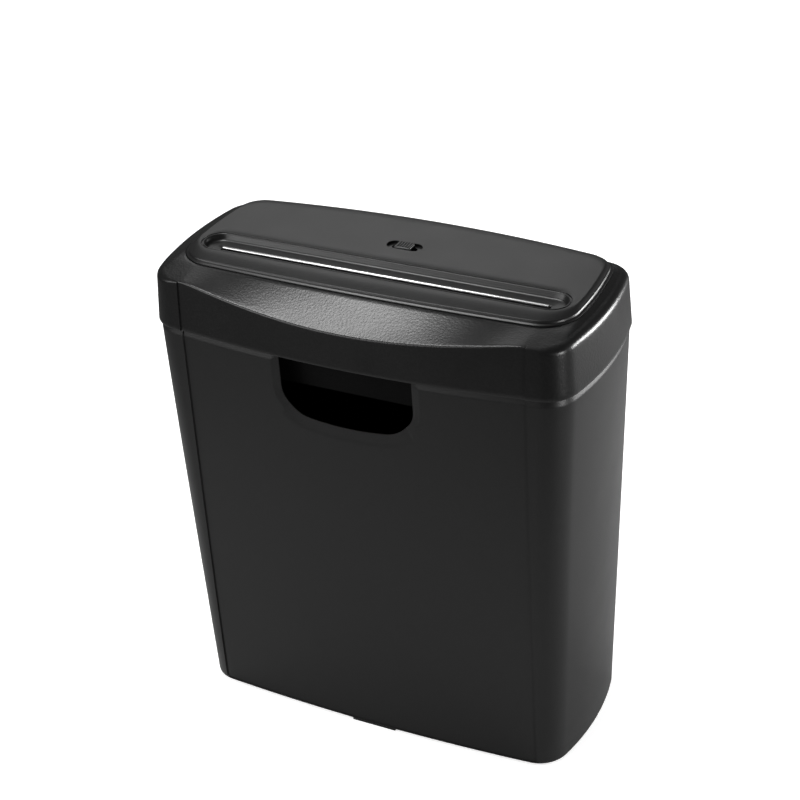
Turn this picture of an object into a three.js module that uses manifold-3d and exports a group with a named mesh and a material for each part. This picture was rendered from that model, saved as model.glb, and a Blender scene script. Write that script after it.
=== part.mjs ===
// Strip-cut paper shredder: a cutter head that lifts off a tapered waste bin.
// Millimetres, +Z up, the front faces -Y, the origin is on the floor under the middle.

import * as THREE from 'three';
import { mergeVertices } from 'three/addons/utils/BufferGeometryUtils.js';
import Module from 'manifold-3d';

const wasm = await Module();
wasm.setup();

// ---------- driving sizes ----------

const gap = 0.3;                        // between two pieces that touch or run on each other

const bin = {
  padHeight: 2,                         // moulded pads under the corners
  rimHeight: 301.7,                     // floor to the top of the rim
  wall: 2.2,
  floor: 2.5,
  endRoom: 14.9,                        // tray to rim at the ends, in front and behind
  frontRoom: 18.6,
  backRoom: 15.1,
  endTaper: 10.5,                       // the foot stands this far inside the rim
  faceTaper: 8.6,
  top: { crown: 14.53, endRadius: 236, corner: 22.4 },      // crown: bulge of the long faces
  bottom: { crown: 6.68, endRadius: 200, corner: 22.5 },
  footRound: 2.6,
  rimBevelHeight: 3,
  rimBevelInset: 1.2,
  padRadius: 8,
  padInset: 20,
  tabWidth: 34,
  tabDepth: 7,
};

const handHole = { halfWidth: 48.5, depth: 46, corner: 15, sag: 3.6 };

const head = {
  overhang: 1.2,                        // the housing stands this far outside the bin's rim
  seat: 0.3,                            // space between the rim and the housing
  overPlate: 9.2,                       // side plates to the ledge round the top panel
  wall: 2.4,
  draft: 2,                             // how far the wall leans in below the shoulder
  shoulder: 5,                          // size of the rounded edge above the wall
};

const facet = { endRoom: 34.5, midSlope: 0.435, endSlope: 0.06 };  // crescent cut along the front

const panel = {
  rise: 4.6,                            // top panel above the ledge
  front: 44,                            // its front edge from the middle of the machine
  endInset: 12.5,                       // its ends and back edge inside the bin's rim
  backInset: 5.6,
  crown: 4.32,                          // bulge of its front edge
  plan: { endRadius: 300, frontCorner: 26, backCorner: 22 },
  sideRound: 4,                         // inset of its rounded upper edge
  frontRoll: 14,                        // inset of the long roll along the front
  wall: 2.6,
  lip: 3,                               // flange that clips under the ledge at the ends
};

const feed = {
  y: -16.8,                             // plane of the paper
  throatHalf: 118, throatWidth: 5.2,
  recessShift: 4, recessEnd: 15,        // the recess lies behind the throat and runs on past its ends
  recessWidth: 23, recessDepth: 5.2,
  chuteWall: 2.6,
  chuteAboveCutters: 3,                 // lower end of the paper chute over the discs
  chuteShoulder: 1.6,                   // its wide upper part over the side plates
};

const guide = { pastThroat: 2.4, thick: 2.4, height: 7, sink: 3.9, tip: 1.2 };

const lever = {                         // paper sensor
  wide: 3, fromFeed: 11.7, pivotDrop: 12.6, boss: 2.6, pin: 1.2, pinEnd: 3, arm: 2.2, tipReach: 12.7,
  tipDrop: 2, slotSide: 0.6, slotRise: 4.5,
};

const sensorBody = { long: 13, front: 5.5, back: 5, below: 5.5, above: 4.5 };

const cutter = {
  stripWidth: 7,
  endRoom: 6,                           // the discs end at least this far inside the throat
  discRadius: 14, shaftRadius: 10.2, bite: 2.5, journal: 5,
  axisAboveSeat: 5,
};

const bush = { radius: 7, flangeRadius: 9, flange: 1.9 };

const retainer = { rim: 2.4, thick: 1 };  // push-on rings that hold gears on their shafts

const comb = { clear: 1.6, thick: 2.8, half: 9, fingerHalf: 4, side: 0.8, tipClear: 0.9 };

const plate = { thick: 2, clear: 3, combRoom: 2.05, motorRoom: 0.9, overGear: 0.3, bevel: 12, endOver: 0.2 };

const plateRib = { long: 9, thick: 2, high: 3, inset: 2 };

const tie = { radius: 2.5, end: 1.8, inset: 4.5, rise: 6 };

const gears = {
  thin: 0.16,                           // share of the pitch left as backlash in each pair
  sync: { teeth: 17, wide: 7 },
  drive: { teeth: 30, pinionTeeth: 10, wide: 6.2 },
  second: { module: 1.2, teeth: 30, pinionTeeth: 10, wide: 5 },
  first: { module: 0.95, teeth: 40, pinionTeeth: 10, wide: 4 },
  angleSecond: -19.5, angleFirst: 43.1,  // from each wheel to the next one, in degrees
  rootDepth: 1.1, tipHeight: 0.8, rootHalf: 0.36, tipHalf: 0.17,
  fromPlate: 1, step: 0.8, secondStep: 2.2,  // free spaces along the shafts
  axle: 2.7, axleShoulder: 1.6, axleEnd: 1.6, hubWall: 2.6, hubWallSmall: 1.6,
};

const motor = {
  radius: 18, length: 57, edge: 1.5, shaft: 2, shaftHidden: 12, boss: 6, screwCircle: 12.5, screwDepth: 5,
  combRoom: 2.7,
};

const motorCap = {
  length: 9.5, inset: 0.6, hub: 5, hubRise: 2.5, roundRise: 5, terminalFrom: 8, terminalTo: 11,
  terminalHalf: 2.5,
};

const tray = {
  flange: 2.4, wall: 2.2, floor: 2.4, corner: 20, flangeRoom: 0.7, belowGears: 2,
  endRoom: 5.4, plateRoom: 7, gearRoom: 1.5, backRoom: 6.5, outletRoom: 0.45,
};

const board = {
  fromPlate: 17, fromBack: 44.5, width: 62, depth: 29, thick: 1.6, post: 9, postRadius: 3.2, postInset: 5,
};

const suppressor = { x: 20, y: 12, width: 26, depth: 12, height: 14 };

const knob = {
  y: 24, halfTravel: 5, width: 12, depth: 9, corner: 2, edge: 1, trackDepth: 1.8, rise: 3.2,
  trackRoom: 2, stemX: 3, stemY: 1.9, stemIn: 3, slotRoom: 0.4, slotEnd: 1.4,
};

const modeBody = { halfX: 15, halfY: 6.5, height: 13 };

const gland = {
  fromEnd: 48.5, aboveSeat: 14, radius: 4.6, flange: 7, flangeThick: 1.6, length: 4.8, tail: 9, bore: 3.2,
  pad: 9, padRise: 1.6,
};

const screw = {
  radius: 1.4, head: 2.8, headHeight: 1.6, length: 11, boss: 3.4, tip: 3, headRoom: 1.6,
  frontAt: 0.741, backAt: 0.537,        // along the long faces, from the middle to the end
  ribThick: 2,
};

const plunger = {
  fromTray: 5.6, radius: 2, edge: 0.8, travel: 3, tabDrop: 2.9, tabHalf: 7, tabThick: 3, tabFoot: 14,
  length: 16, bodyOut: 4.3, bodyIn: 5, bodyHalf: 9, bodyTop: 3,
};

// ---------- sizes that follow from them ----------

const headLow = bin.rimHeight + head.seat;
const axisZ = headLow + cutter.axisAboveSeat;
const axisSpacing = 2 * cutter.discRadius - cutter.bite;
const frontAxis = new THREE.Vector2(feed.y - axisSpacing / 2, axisZ);
const rearAxis = new THREE.Vector2(feed.y + axisSpacing / 2, axisZ);
gears.sync.module = axisSpacing / gears.sync.teeth;
gears.drive.module = gears.sync.module;

const driveTip = gears.drive.module * (gears.drive.teeth / 2 + gears.tipHeight);
const plateTop = axisZ + driveTip + plate.overGear;
const ledgeTop = plateTop + head.overPlate;
const panelTop = ledgeTop + panel.rise;

const cutterCells = 2 * Math.floor((feed.throatHalf - cutter.endRoom) / cutter.stripWidth);
const cutterHalf = cutter.stripWidth * cutterCells / 2;
const plateIn = cutterHalf + plate.clear;
const plateOut = plateIn + plate.thick;
const driveX = plateOut + gears.fromPlate;
const driveEnd = driveX + gears.drive.wide;
const secondX = driveEnd + gears.step;
const secondEnd = secondX + gears.second.wide;
const firstX = secondEnd + gears.secondStep;
const firstEnd = firstX + gears.first.wide;
const syncX = -driveX - gears.sync.wide;

const combReach = cutter.discRadius + comb.clear + comb.thick;
const secondAxis = away(frontAxis, gears.angleSecond, pairDistance(gears.drive));
const firstAxis = away(secondAxis, gears.angleFirst, pairDistance(gears.second));
const motorY = rearAxis.x + combReach + motor.combRoom + motor.radius;
const angleMotor = -THREE.MathUtils.radToDeg(Math.acos((motorY - firstAxis.x) / pairDistance(gears.first)));
const motorAxis = away(firstAxis, angleMotor, pairDistance(gears.first));

const plateFront = frontAxis.x - combReach - plate.combRoom;
const plateBack = motorAxis.x + motor.radius + plate.motorRoom;
const gearFront = frontAxis.x - driveTip - tray.gearRoom;
const trayFront = Math.min(plateFront - tray.plateRoom, gearFront - tray.wall);
const trayBack = plateBack + tray.backRoom;
const trayHalf = firstEnd + tray.endRoom;
const secondTip = gears.second.module * (gears.second.teeth / 2 + gears.tipHeight);
const lowest = Math.min(axisZ - driveTip, secondAxis.y - secondTip, motorAxis.y - motor.radius);
const trayFloor = lowest - tray.belowGears;
const trayBottom = trayFloor - tray.floor;
const flangeTop = headLow + gap + tray.flange;
const plateBottom = trayFloor + gap;
const tieSpots = [
  new THREE.Vector2(plateFront + tie.inset, plateBottom + tie.rise),
  new THREE.Vector2(plateFront + tie.inset, plateTop - tie.rise),
  new THREE.Vector2(plateBack - tie.inset, plateBottom + tie.rise),
];

const binHalf = trayHalf + bin.endRoom;
const binDepth = Math.max(bin.frontRoom - trayFront, bin.backRoom + trayBack);
const [footHalf, footDepth] = [binHalf - bin.endTaper, binDepth - bin.faceTaper];
const binTop = binPlan(bin.top, binHalf, binDepth);
const binBottom = binPlan(bin.bottom, footHalf, footDepth);
const headPlan = offsetPlan(binTop, head.overhang);
const panelHalf = binHalf - panel.endInset;
const panelBase = {
  ...panel.plan,
  halfWidth: panelHalf,
  front: panel.front,
  back: binDepth - panel.backInset,
  faceRadius: crownRadius(panelHalf, panel.crown),
  backRadius: binTop.faceRadius,
};

const throatFront = feed.y - feed.throatWidth / 2;
const throatBack = feed.y + feed.throatWidth / 2;
const recessY = feed.y + feed.recessShift;
const recessHalf = feed.throatHalf + feed.recessEnd;
const guideHalf = feed.throatHalf + guide.pastThroat;
const glandX = gland.fromEnd - binHalf;
const glandZ = headLow + gland.aboveSeat;
const boardX = board.fromPlate - plateIn;
const boardY = trayBack - board.fromBack;
const boardSpots = [
  [boardX + board.postInset, boardY + board.postInset],
  [boardX + board.width - board.postInset, boardY + board.depth - board.postInset],
];
const tabTop = bin.rimHeight - plunger.tabDrop;
const plungerX = -trayHalf - plunger.fromTray;
const screwOut = screw.head + screw.headRoom;
const screwSpots = [-1, 1].flatMap((side) => [
  [side * binHalf * screw.frontAt, trayFront - screwOut],
  [side * binHalf * screw.backAt, trayBack + screwOut],
]);

// ---------- solids ----------

/** Merges the vertices of a closed geometry, drops empty triangles and turns its faces outward. */
function closed(source) {
  const geometry = source.clone();
  geometry.deleteAttribute('normal');
  geometry.deleteAttribute('uv');
  const merged = mergeVertices(geometry, 1e-4);
  const p = merged.attributes.position;
  const index = merged.index.array;
  const kept = [];
  let volume = 0;
  const [a, b, c] = [new THREE.Vector3(), new THREE.Vector3(), new THREE.Vector3()];
  for (let i = 0; i < index.length; i += 3) {
    const [i0, i1, i2] = [index[i], index[i + 1], index[i + 2]];
    if (i0 === i1 || i1 === i2 || i2 === i0) continue;
    kept.push(i0, i1, i2);
    a.fromBufferAttribute(p, i0);
    b.fromBufferAttribute(p, i1);
    c.fromBufferAttribute(p, i2);
    volume += a.dot(b.cross(c));
  }
  if (volume < 0) {
    for (let i = 0; i < kept.length; i += 3) [kept[i], kept[i + 1]] = [kept[i + 1], kept[i]];
  }
  merged.setIndex(kept);
  return merged;
}

function toSolid(geometry) {
  const merged = closed(geometry);
  return new wasm.Manifold(new wasm.Mesh({
    numProp: 3,
    vertProperties: new Float32Array(merged.attributes.position.array),
    triVerts: new Uint32Array(merged.index.array),
  }));
}

function toGeometry(solid) {
  const mesh = solid.getMesh();
  const geometry = new THREE.BufferGeometry();
  geometry.setAttribute('position', new THREE.BufferAttribute(new Float32Array(mesh.vertProperties), 3));
  geometry.setIndex(Array.from(mesh.triVerts));
  return geometry;
}

function join(first, ...others) {
  return toGeometry(others.reduce((solid, other) => solid.add(toSolid(other)), toSolid(first)));
}

function cut(first, ...tools) {
  return toGeometry(tools.reduce((solid, tool) => solid.subtract(toSolid(tool)), toSolid(first)));
}

function common(first, other) {
  return toGeometry(toSolid(first).intersect(toSolid(other)));
}

function block(x0, x1, y0, y1, z0, z1) {
  return new THREE.BoxGeometry(x1 - x0, y1 - y0, z1 - z0)
    .translate((x0 + x1) / 2, (y0 + y1) / 2, (z0 + z1) / 2);
}

const [axisX, axisY, axisUp] = [[1, 0, 0], [0, 1, 0], [0, 0, 1]].map((v) => new THREE.Vector3(...v));

function extrude(shape, depth, curveSegments) {
  return new THREE.ExtrudeGeometry(shape, { depth, bevelEnabled: false, curveSegments });
}

/** A shape drawn in (Y, Z), from x0 to x1. */
function alongX(shape, x0, x1, curveSegments = 8) {
  const turn = new THREE.Matrix4().makeBasis(axisY, axisUp, axisX);
  return extrude(shape, x1 - x0, curveSegments).applyMatrix4(turn).translate(x0, 0, 0);
}

/** A shape drawn in (X, Z), from y0 to y1. */
function alongY(shape, y0, y1, curveSegments = 16) {
  return extrude(shape, y1 - y0, curveSegments).rotateX(Math.PI / 2).translate(0, y1, 0);
}

/** A shape drawn in (X, Y), from z0 to z1. */
function alongZ(shape, z0, z1, curveSegments = 8) {
  return extrude(shape, z1 - z0, curveSegments).translate(0, 0, z0);
}

/** A round bar along X through the (Y, Z) point at. */
function barX(at, radius, x0, x1, segments = 20) {
  return new THREE.CylinderGeometry(radius, radius, x1 - x0, segments)
    .rotateZ(-Math.PI / 2).translate((x0 + x1) / 2, at.x, at.y);
}

/** A closed profile of [radius, x] points turned about the X axis through the (Y, Z) point at. */
function turned(profile, at, segments = 20) {
  const points = profile.map(([r, x]) => new THREE.Vector2(r, x));
  return new THREE.LatheGeometry(points, segments).rotateZ(-Math.PI / 2).translate(0, at.x, at.y);
}

/** A closed profile of [radius, z] points turned about the vertical through (x, y). */
function turnedUp(profile, x, y, segments = 16) {
  const points = profile.map(([r, z]) => new THREE.Vector2(r, z));
  return new THREE.LatheGeometry(points, segments).rotateX(Math.PI / 2).translate(x, y, 0);
}

function roundedBox(halfWidth, y0, y1, corner) {
  const shape = new THREE.Shape();
  const [right, left] = [halfWidth - corner, corner - halfWidth];
  shape.absarc(right, y0 + corner, corner, -Math.PI / 2, 0);
  shape.absarc(right, y1 - corner, corner, 0, Math.PI / 2);
  shape.absarc(left, y1 - corner, corner, Math.PI / 2, Math.PI);
  shape.absarc(left, y0 + corner, corner, Math.PI, 1.5 * Math.PI);
  shape.closePath();
  return shape;
}

function hole(at, radius) {
  return new THREE.Path().absarc(at.x, at.y, radius, 0, 2 * Math.PI, true);
}

// ---------- the oval plan of bin, head and panel ----------

/** The radius of an arc that bulges by crown over a half chord. */
function crownRadius(half, crown) {
  return (half ** 2 + crown ** 2) / (2 * crown);
}

function binPlan({ crown, endRadius, corner }, halfWidth, depth) {
  const faceRadius = crownRadius(halfWidth, crown);
  return { halfWidth, front: depth, back: depth, faceRadius, endRadius, corner };
}

function offsetPlan(plan, by) {
  const grown = { ...plan };
  for (const key of ['halfWidth', 'front', 'back', 'endRadius', 'faceRadius']) grown[key] += by;
  for (const key of ['corner', 'frontCorner', 'backCorner', 'backRadius']) {
    if (key in plan) grown[key] = Math.max(plan[key] + by, 1);
  }
  return grown;
}

function mixPlan(low, high, share) {
  const mixed = {};
  for (const key of Object.keys(low)) mixed[key] = low[key] + (high[key] - low[key]) * share;
  return mixed;
}

/** Where two circles cross, on the side away from the origin. */
function outerCrossing(p, pRadius, q, qRadius) {
  const between = q.clone().sub(p);
  const distance = between.length();
  const along = (pRadius ** 2 - qRadius ** 2 + distance ** 2) / (2 * distance);
  const aside = Math.sqrt(pRadius ** 2 - along ** 2);
  const unit = between.divideScalar(distance);
  const base = p.clone().addScaledVector(unit, along);
  const normal = new THREE.Vector2(-unit.y, unit.x);
  const [one, two] = [aside, -aside].map((side) => base.clone().addScaledVector(normal, side));
  return one.x + one.y > two.x + two.y ? one : two;
}

function arcPoints(centre, radius, from, to, steps) {
  return Array.from({ length: steps + 1 }, (_, i) => {
    const angle = from + (to - from) * i / steps;
    return new THREE.Vector2(centre.x + radius * Math.cos(angle), centre.y + radius * Math.sin(angle));
  });
}

/** A quarter of the plan, from the middle of its face to the middle of its end: three tangent arcs. */
function quarter(halfWidth, depth, faceRadius, endRadius, corner) {
  const face = new THREE.Vector2(0, depth - faceRadius);
  const end = new THREE.Vector2(halfWidth - endRadius, 0);
  const round = outerCrossing(face, faceRadius - corner, end, endRadius - corner);
  const faceAngle = Math.atan2(round.y - face.y, round.x - face.x);
  const endAngle = Math.atan2(round.y - end.y, round.x - end.x);
  return [
    ...arcPoints(face, faceRadius, Math.PI / 2, faceAngle, 3).slice(0, -1),
    ...arcPoints(round, corner, faceAngle, endAngle, 4).slice(0, -1),
    ...arcPoints(end, endRadius, endAngle, 0, 2),
  ];
}

function planPoints(plan) {
  const { halfWidth, faceRadius, endRadius } = plan;
  const frontCorner = plan.frontCorner ?? plan.corner;
  const backCorner = plan.backCorner ?? plan.corner;
  const back = quarter(halfWidth, plan.back, plan.backRadius ?? faceRadius, endRadius, backCorner);
  const front = quarter(halfWidth, plan.front, faceRadius, endRadius, frontCorner);
  return [
    ...back.toReversed().slice(0, -1),
    ...back.map((v) => new THREE.Vector2(-v.x, v.y)).slice(0, -1),
    ...front.toReversed().map((v) => new THREE.Vector2(-v.x, -v.y)).slice(0, -1),
    ...front.map((v) => new THREE.Vector2(v.x, -v.y)).slice(0, -1),
  ];
}

function ring(plan, z) {
  return planPoints(plan).map((v) => new THREE.Vector3(v.x, v.y, z));
}

/** Skins rings of equal count in order and closes the first and the last with a fan. */
function loft(rings) {
  const count = rings[0].length;
  const positions = rings.flat().flatMap((v) => [v.x, v.y, v.z]);
  const index = [];
  for (let level = 0; level + 1 < rings.length; level += 1) {
    for (let i = 0; i < count; i += 1) {
      const [a, b] = [level * count + i, level * count + (i + 1) % count];
      index.push(a, b, b + count, a, b + count, a + count);
    }
  }
  const caps = [[0, 1], [(rings.length - 1) * count, 0]];
  for (const [start, flip] of caps) {
    const centre = new THREE.Vector3();
    rings[start / count].forEach((v) => centre.addScaledVector(v, 1 / count));
    const middle = positions.length / 3;
    positions.push(centre.x, centre.y, centre.z);
    for (let i = 0; i < count; i += 1) {
      const [a, b] = [start + i, start + (i + 1) % count];
      index.push(...(flip ? [b, a, middle] : [a, b, middle]));
    }
  }
  const geometry = new THREE.BufferGeometry();
  geometry.setAttribute('position', new THREE.Float32BufferAttribute(positions, 3));
  geometry.setIndex(index);
  return geometry;
}

// ---------- pieces ----------

const shredder = new THREE.Group();

const finishes = {
  shell: { color: 0x1b1b1c, roughness: 0.42, metalness: 0 },
  satin: { color: 0x202022, roughness: 0.3, metalness: 0 },
  inner: { color: 0x17181a, roughness: 0.6, metalness: 0 },
  pale: { color: 0xe6e2d6, roughness: 0.5, metalness: 0 },
  steel: { color: 0xa8abb0, roughness: 0.35, metalness: 1 },
  bright: { color: 0xd4d6d9, roughness: 0.22, metalness: 1 },
  bronze: { color: 0x9c7442, roughness: 0.45, metalness: 1 },
  board: { color: 0x245c38, roughness: 0.5, metalness: 0 },
  amber: { color: 0xb3781f, roughness: 0.4, metalness: 0 },
  rubber: { color: 0x121212, roughness: 0.8, metalness: 0 },
};

function add(name, geometry, finish) {
  const mesh = new THREE.Mesh(closed(geometry), new THREE.MeshStandardMaterial(finishes[finish]));
  mesh.name = name;
  shredder.add(mesh);
}

// Bin: one tapered tub, its rim notched at the front for the hand, with moulded pads and a front tab.
function binPlanAt(z) {
  return mixPlan(binBottom, binTop, (z - bin.padHeight) / (bin.rimHeight - bin.padHeight));
}

function handHoleShape() {
  const { halfWidth, corner, sag } = handHole;
  const low = bin.rimHeight - handHole.depth;
  const turn = low + sag + corner;
  const over = bin.rimHeight + 10;
  const shape = new THREE.Shape();
  shape.moveTo(halfWidth, over);
  shape.lineTo(-halfWidth, over);
  shape.lineTo(-halfWidth, turn);
  shape.quadraticCurveTo(-halfWidth + 1, low + sag, -halfWidth + corner + 4, low + sag / 2);
  shape.quadraticCurveTo(0, low - sag / 2, halfWidth - corner - 4, low + sag / 2);
  shape.quadraticCurveTo(halfWidth - 1, low + sag, halfWidth, turn);
  shape.closePath();
  return shape;
}

function addBin() {
  const bevelFoot = bin.rimHeight - bin.rimBevelHeight;
  const inside = bin.padHeight + bin.floor;
  const tub = loft([
    ring(offsetPlan(binBottom, -bin.footRound), bin.padHeight),
    ring(offsetPlan(binPlanAt(bin.padHeight + bin.footRound), -0.4), bin.padHeight + bin.footRound * 0.6),
    ring(binPlanAt(bin.padHeight + 2 * bin.footRound), bin.padHeight + 2 * bin.footRound),
    ring(binPlanAt(bevelFoot), bevelFoot),
    ring(offsetPlan(binTop, -bin.rimBevelInset), bin.rimHeight),
    ring(offsetPlan(binTop, -bin.wall), bin.rimHeight),
    ring(offsetPlan(binPlanAt(inside), -bin.wall - bin.footRound), inside),
  ]);
  const pads = [-1, 1].flatMap((sx) => [-1, 1].map((sy) => turnedUp(
    [[0, 0], [bin.padRadius, 0], [bin.padRadius, inside - 1], [0, inside - 1]],
    sx * (footHalf - bin.footRound - bin.padInset),
    sy * (footDepth - bin.footRound - bin.padInset),
  )));
  const tabFront = bin.footRound * 0.4 - footDepth;
  const tabHalf = bin.tabWidth / 2;
  const tab = block(-tabHalf, tabHalf, tabFront, tabFront + bin.tabDepth, 0, inside - 1);
  const notch = alongY(handHoleShape(), -2 * binDepth, -binDepth / 2, 5);
  add('waste_bin', cut(join(tub, ...pads, tab, interlockTab()), notch), 'shell');
}

/** A tab inside the bin's left end presses the interlock plunger. */
function interlockTab() {
  const { tabHalf, tabThick, tabFoot } = plunger;
  const outer = bin.wall / 2 - binPlanAt(tabTop).halfWidth;
  const inner = plungerX + 2 * plunger.radius;
  const shape = new THREE.Shape([
    new THREE.Vector2(outer, tabTop), new THREE.Vector2(outer, tabTop - tabFoot),
    new THREE.Vector2(inner, tabTop - tabThick), new THREE.Vector2(inner, tabTop),
  ]);
  return alongY(shape, -tabHalf, tabHalf);
}

// Housing: the wall round the head, the ledge round the top panel and the crescent facet in front.
function facetTool(drop) {
  const top = -panel.front;
  const over = -2 * headPlan.front;
  const sky = 2 * panelTop;
  const reach = 1.03 * headPlan.halfWidth;
  const steps = 24;
  const sections = Array.from({ length: steps + 1 }, (_, i) => {
    const x = -reach + 2 * reach * i / steps;
    const fade = Math.max(0, 1 - (x / (binHalf - facet.endRoom)) ** 2);
    const slope = facet.endSlope + (facet.midSlope - facet.endSlope) * fade;
    const low = ledgeTop - drop + slope * (over - top);
    return [[over, low], [top, ledgeTop - drop], [top, sky], [over, sky]]
      .map(([y, z]) => new THREE.Vector3(x, y, z));
  });
  return loft(sections);
}

function panelPlan(inset = 0, frontInset = inset) {
  return { ...offsetPlan(panelBase, -inset), front: panel.front - frontInset };
}

function addHousing() {
  const { wall, draft, shoulder } = head;
  const level = (z, inset) => ring(offsetPlan(headPlan, -inset), z);
  const outside = loft([
    level(headLow, 0),
    level(ledgeTop - 1.6 * shoulder, draft),
    level(ledgeTop - 0.6 * shoulder, draft + 0.25 * shoulder),
    level(ledgeTop - 0.15 * shoulder, draft + 0.7 * shoulder),
    level(ledgeTop, draft + 1.3 * shoulder),
  ]);
  const inside = loft([
    level(headLow - 1, wall),
    level(ledgeTop - 1.6 * shoulder, draft + wall),
    level(ledgeTop - wall, draft + wall + 0.5 * shoulder),
  ]);
  const mouth = loft([
    ring(panelPlan(-gap), ledgeTop - 2 * wall),
    ring(panelPlan(-gap), ledgeTop + wall),
  ]);
  const { pad, radius, bore, tail, flangeThick } = gland;
  const back = headPlan.back - glandX ** 2 / (2 * headPlan.faceRadius);
  const padFace = back + gland.padRise;
  const padBlock = block(
    glandX - pad, glandX + pad, back - 2 * wall, padFace, glandZ - pad, glandZ + pad,
  );
  const cordHole = new THREE.CylinderGeometry(radius + gap, radius + gap, 4 * tail, 16)
    .translate(glandX, padFace, glandZ);
  const bosses = screwSpots.map(([x, y]) => screwBoss(x, y));
  const body = cut(join(cut(outside, facetTool(0)), padBlock), cut(inside, facetTool(wall)), mouth);
  add('head_housing', cut(join(body, ...bosses), cordHole), 'shell');

  const flangeFace = padFace + gap;
  const profile = [
    [bore, flangeFace - tail], [radius, flangeFace - tail], [radius, flangeFace],
    [gland.flange, flangeFace], [gland.flange, flangeFace + flangeThick],
    [bore + flangeThick, flangeFace + gland.length], [bore, flangeFace + gland.length],
    [bore, flangeFace - tail],
  ].map(([r, y]) => new THREE.Vector2(r, y));
  add('cable_gland', new THREE.LatheGeometry(profile, 16).translate(glandX, 0, glandZ), 'rubber');
}

/** A boss inside the housing's wall, above the tray's flange. */
function screwBoss(x, y) {
  const low = flangeTop + gap;
  const top = low + screw.length + screw.tip;
  const blind = low + screw.length;
  const inner = screw.radius + gap;
  const stem = turnedUp([[inner, low], [screw.boss, low], [screw.boss, top], [0, top], [0, blind],
    [inner, blind], [inner, low]], x, y, 10);
  const end = headPlan.front * Math.sign(y);
  const toWall = block(x - screw.ribThick / 2, x + screw.ribThick / 2, Math.min(y, end), Math.max(y, end),
    low, top);
  const bore = turnedUp([[0, low - 1], [inner, low - 1], [inner, blind], [0, blind]], x, y, 10);
  const wallPlan = offsetPlan(headPlan, -(head.wall + head.draft) / 2);
  const rib = common(toWall, loft([ring(wallPlan, low - 1), ring(wallPlan, top + 1)]));
  return cut(join(stem, rib), bore);
}

function addScrews() {
  const top = headLow + gap;
  screwSpots.forEach(([x, y], i) => {
    const profile = [[0, top - screw.headHeight], [screw.head, top - screw.headHeight],
      [screw.head, top - gap], [screw.radius, top - gap], [screw.radius, top + screw.length],
      [0, top + screw.length]];
    add(`tray_screw_${i + 1}`, turnedUp(profile, x, y, 8), 'steel');
  });
}

// Top panel: raised platform with the feed recess, the paper throat and its chute, and the switch track.
function stadium(half, width, y) {
  const r = width / 2;
  return roundedBox(half, y - r, y + r, r - 0.01);
}

function addPanel() {
  const { wall, sideRound, frontRoll, lip } = panel;
  const chuteLow = axisZ + cutter.discRadius + feed.chuteAboveCutters;
  const low = ledgeTop - head.wall - gap - wall;
  const level = (z, inset, front) => ring(panelPlan(inset, front), z);
  const base = ledgeTop + gap;
  const flange = { ...panelPlan(-lip), front: panel.front + 0.5, back: panelBase.back - 0.5 };
  const outside = loft([
    ring(flange, low), ring(flange, low + wall), level(low + wall, 0, 0),
    level(base, 0, 0),
    level(base + 0.45 * panel.rise, 0.2 * sideRound, 0.18 * frontRoll),
    level(base + 0.8 * panel.rise, 0.55 * sideRound, 0.5 * frontRoll),
    level(panelTop, 1.3 * sideRound, frontRoll),
  ]);
  const inside = loft([
    level(low - 1, wall, wall),
    level(base, wall, wall + 0.3 * frontRoll),
    level(panelTop - wall, wall + sideRound, wall + frontRoll),
  ]);
  const chuteHalf = guideHalf + gap + feed.chuteWall;
  const chuteFront = throatFront - feed.chuteWall;
  const pocketBack = throatBack + guide.thick + gap;
  const chutes = [
    block(-chuteHalf, chuteHalf, chuteFront, pocketBack + feed.chuteWall,
      plateTop + feed.chuteShoulder, panelTop - 1),
    block(gap - cutterHalf, cutterHalf - gap, chuteFront, throatBack + feed.chuteWall,
      chuteLow, panelTop - 1),
  ];
  const [barLow, barHigh] = [panelTop - guide.sink - guide.height, panelTop - guide.sink];
  const bowlWall = 1.5;
  const bowl = alongZ(stadium(recessHalf + bowlWall, feed.recessWidth + 2 * bowlWall, recessY),
    panelTop - feed.recessDepth - 2, panelTop - 1);
  const recess = recessTool();
  const throat = block(-feed.throatHalf, feed.throatHalf, throatFront, throatBack, chuteLow - 1, panelTop);
  const pocket = block(-guideHalf - gap, guideHalf + gap, throatBack - gap, pocketBack,
    barLow - gap, panelTop - feed.recessDepth + 2);
  const { halfTravel, trackRoom, stemX, stemY, slotRoom } = knob;
  const trackTop = alongZ(
    roundedTrack(knob.width + 2 * (halfTravel + trackRoom), knob.depth + trackRoom),
    panelTop - knob.trackDepth, panelTop + 1);
  const trackSlot = alongZ(roundedTrack(2 * (stemX + halfTravel + knob.slotEnd), 2 * (stemY + slotRoom)),
    panelTop - wall - 1, panelTop + 1);
  const slotHalf = lever.wide / 2 + lever.slotSide;
  const leverSlot = block(-slotHalf, slotHalf, chuteFront - 1, feed.y,
    chuteLow - 1, panelTop - lever.pivotDrop + lever.slotRise);
  const body = join(cut(outside, inside), ...chutes, bowl);
  add('top_panel', cut(body, recess, throat, pocket, trackTop, trackSlot, leverSlot), 'satin');

  const { tip } = guide;
  const barFront = throatBack + gap / 2;
  const barShape = new THREE.Shape();
  barShape.moveTo(-guideHalf, barLow);
  barShape.lineTo(guideHalf, barLow);
  barShape.lineTo(guideHalf, barHigh - tip);
  barShape.quadraticCurveTo(guideHalf, barHigh, guideHalf - tip, barHigh);
  barShape.lineTo(tip - guideHalf, barHigh);
  barShape.quadraticCurveTo(-guideHalf, barHigh, -guideHalf, barHigh - tip);
  barShape.closePath();
  add('guide_bar', alongY(barShape, barFront, barFront + guide.thick - gap / 2, 3), 'bright');
}

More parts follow.
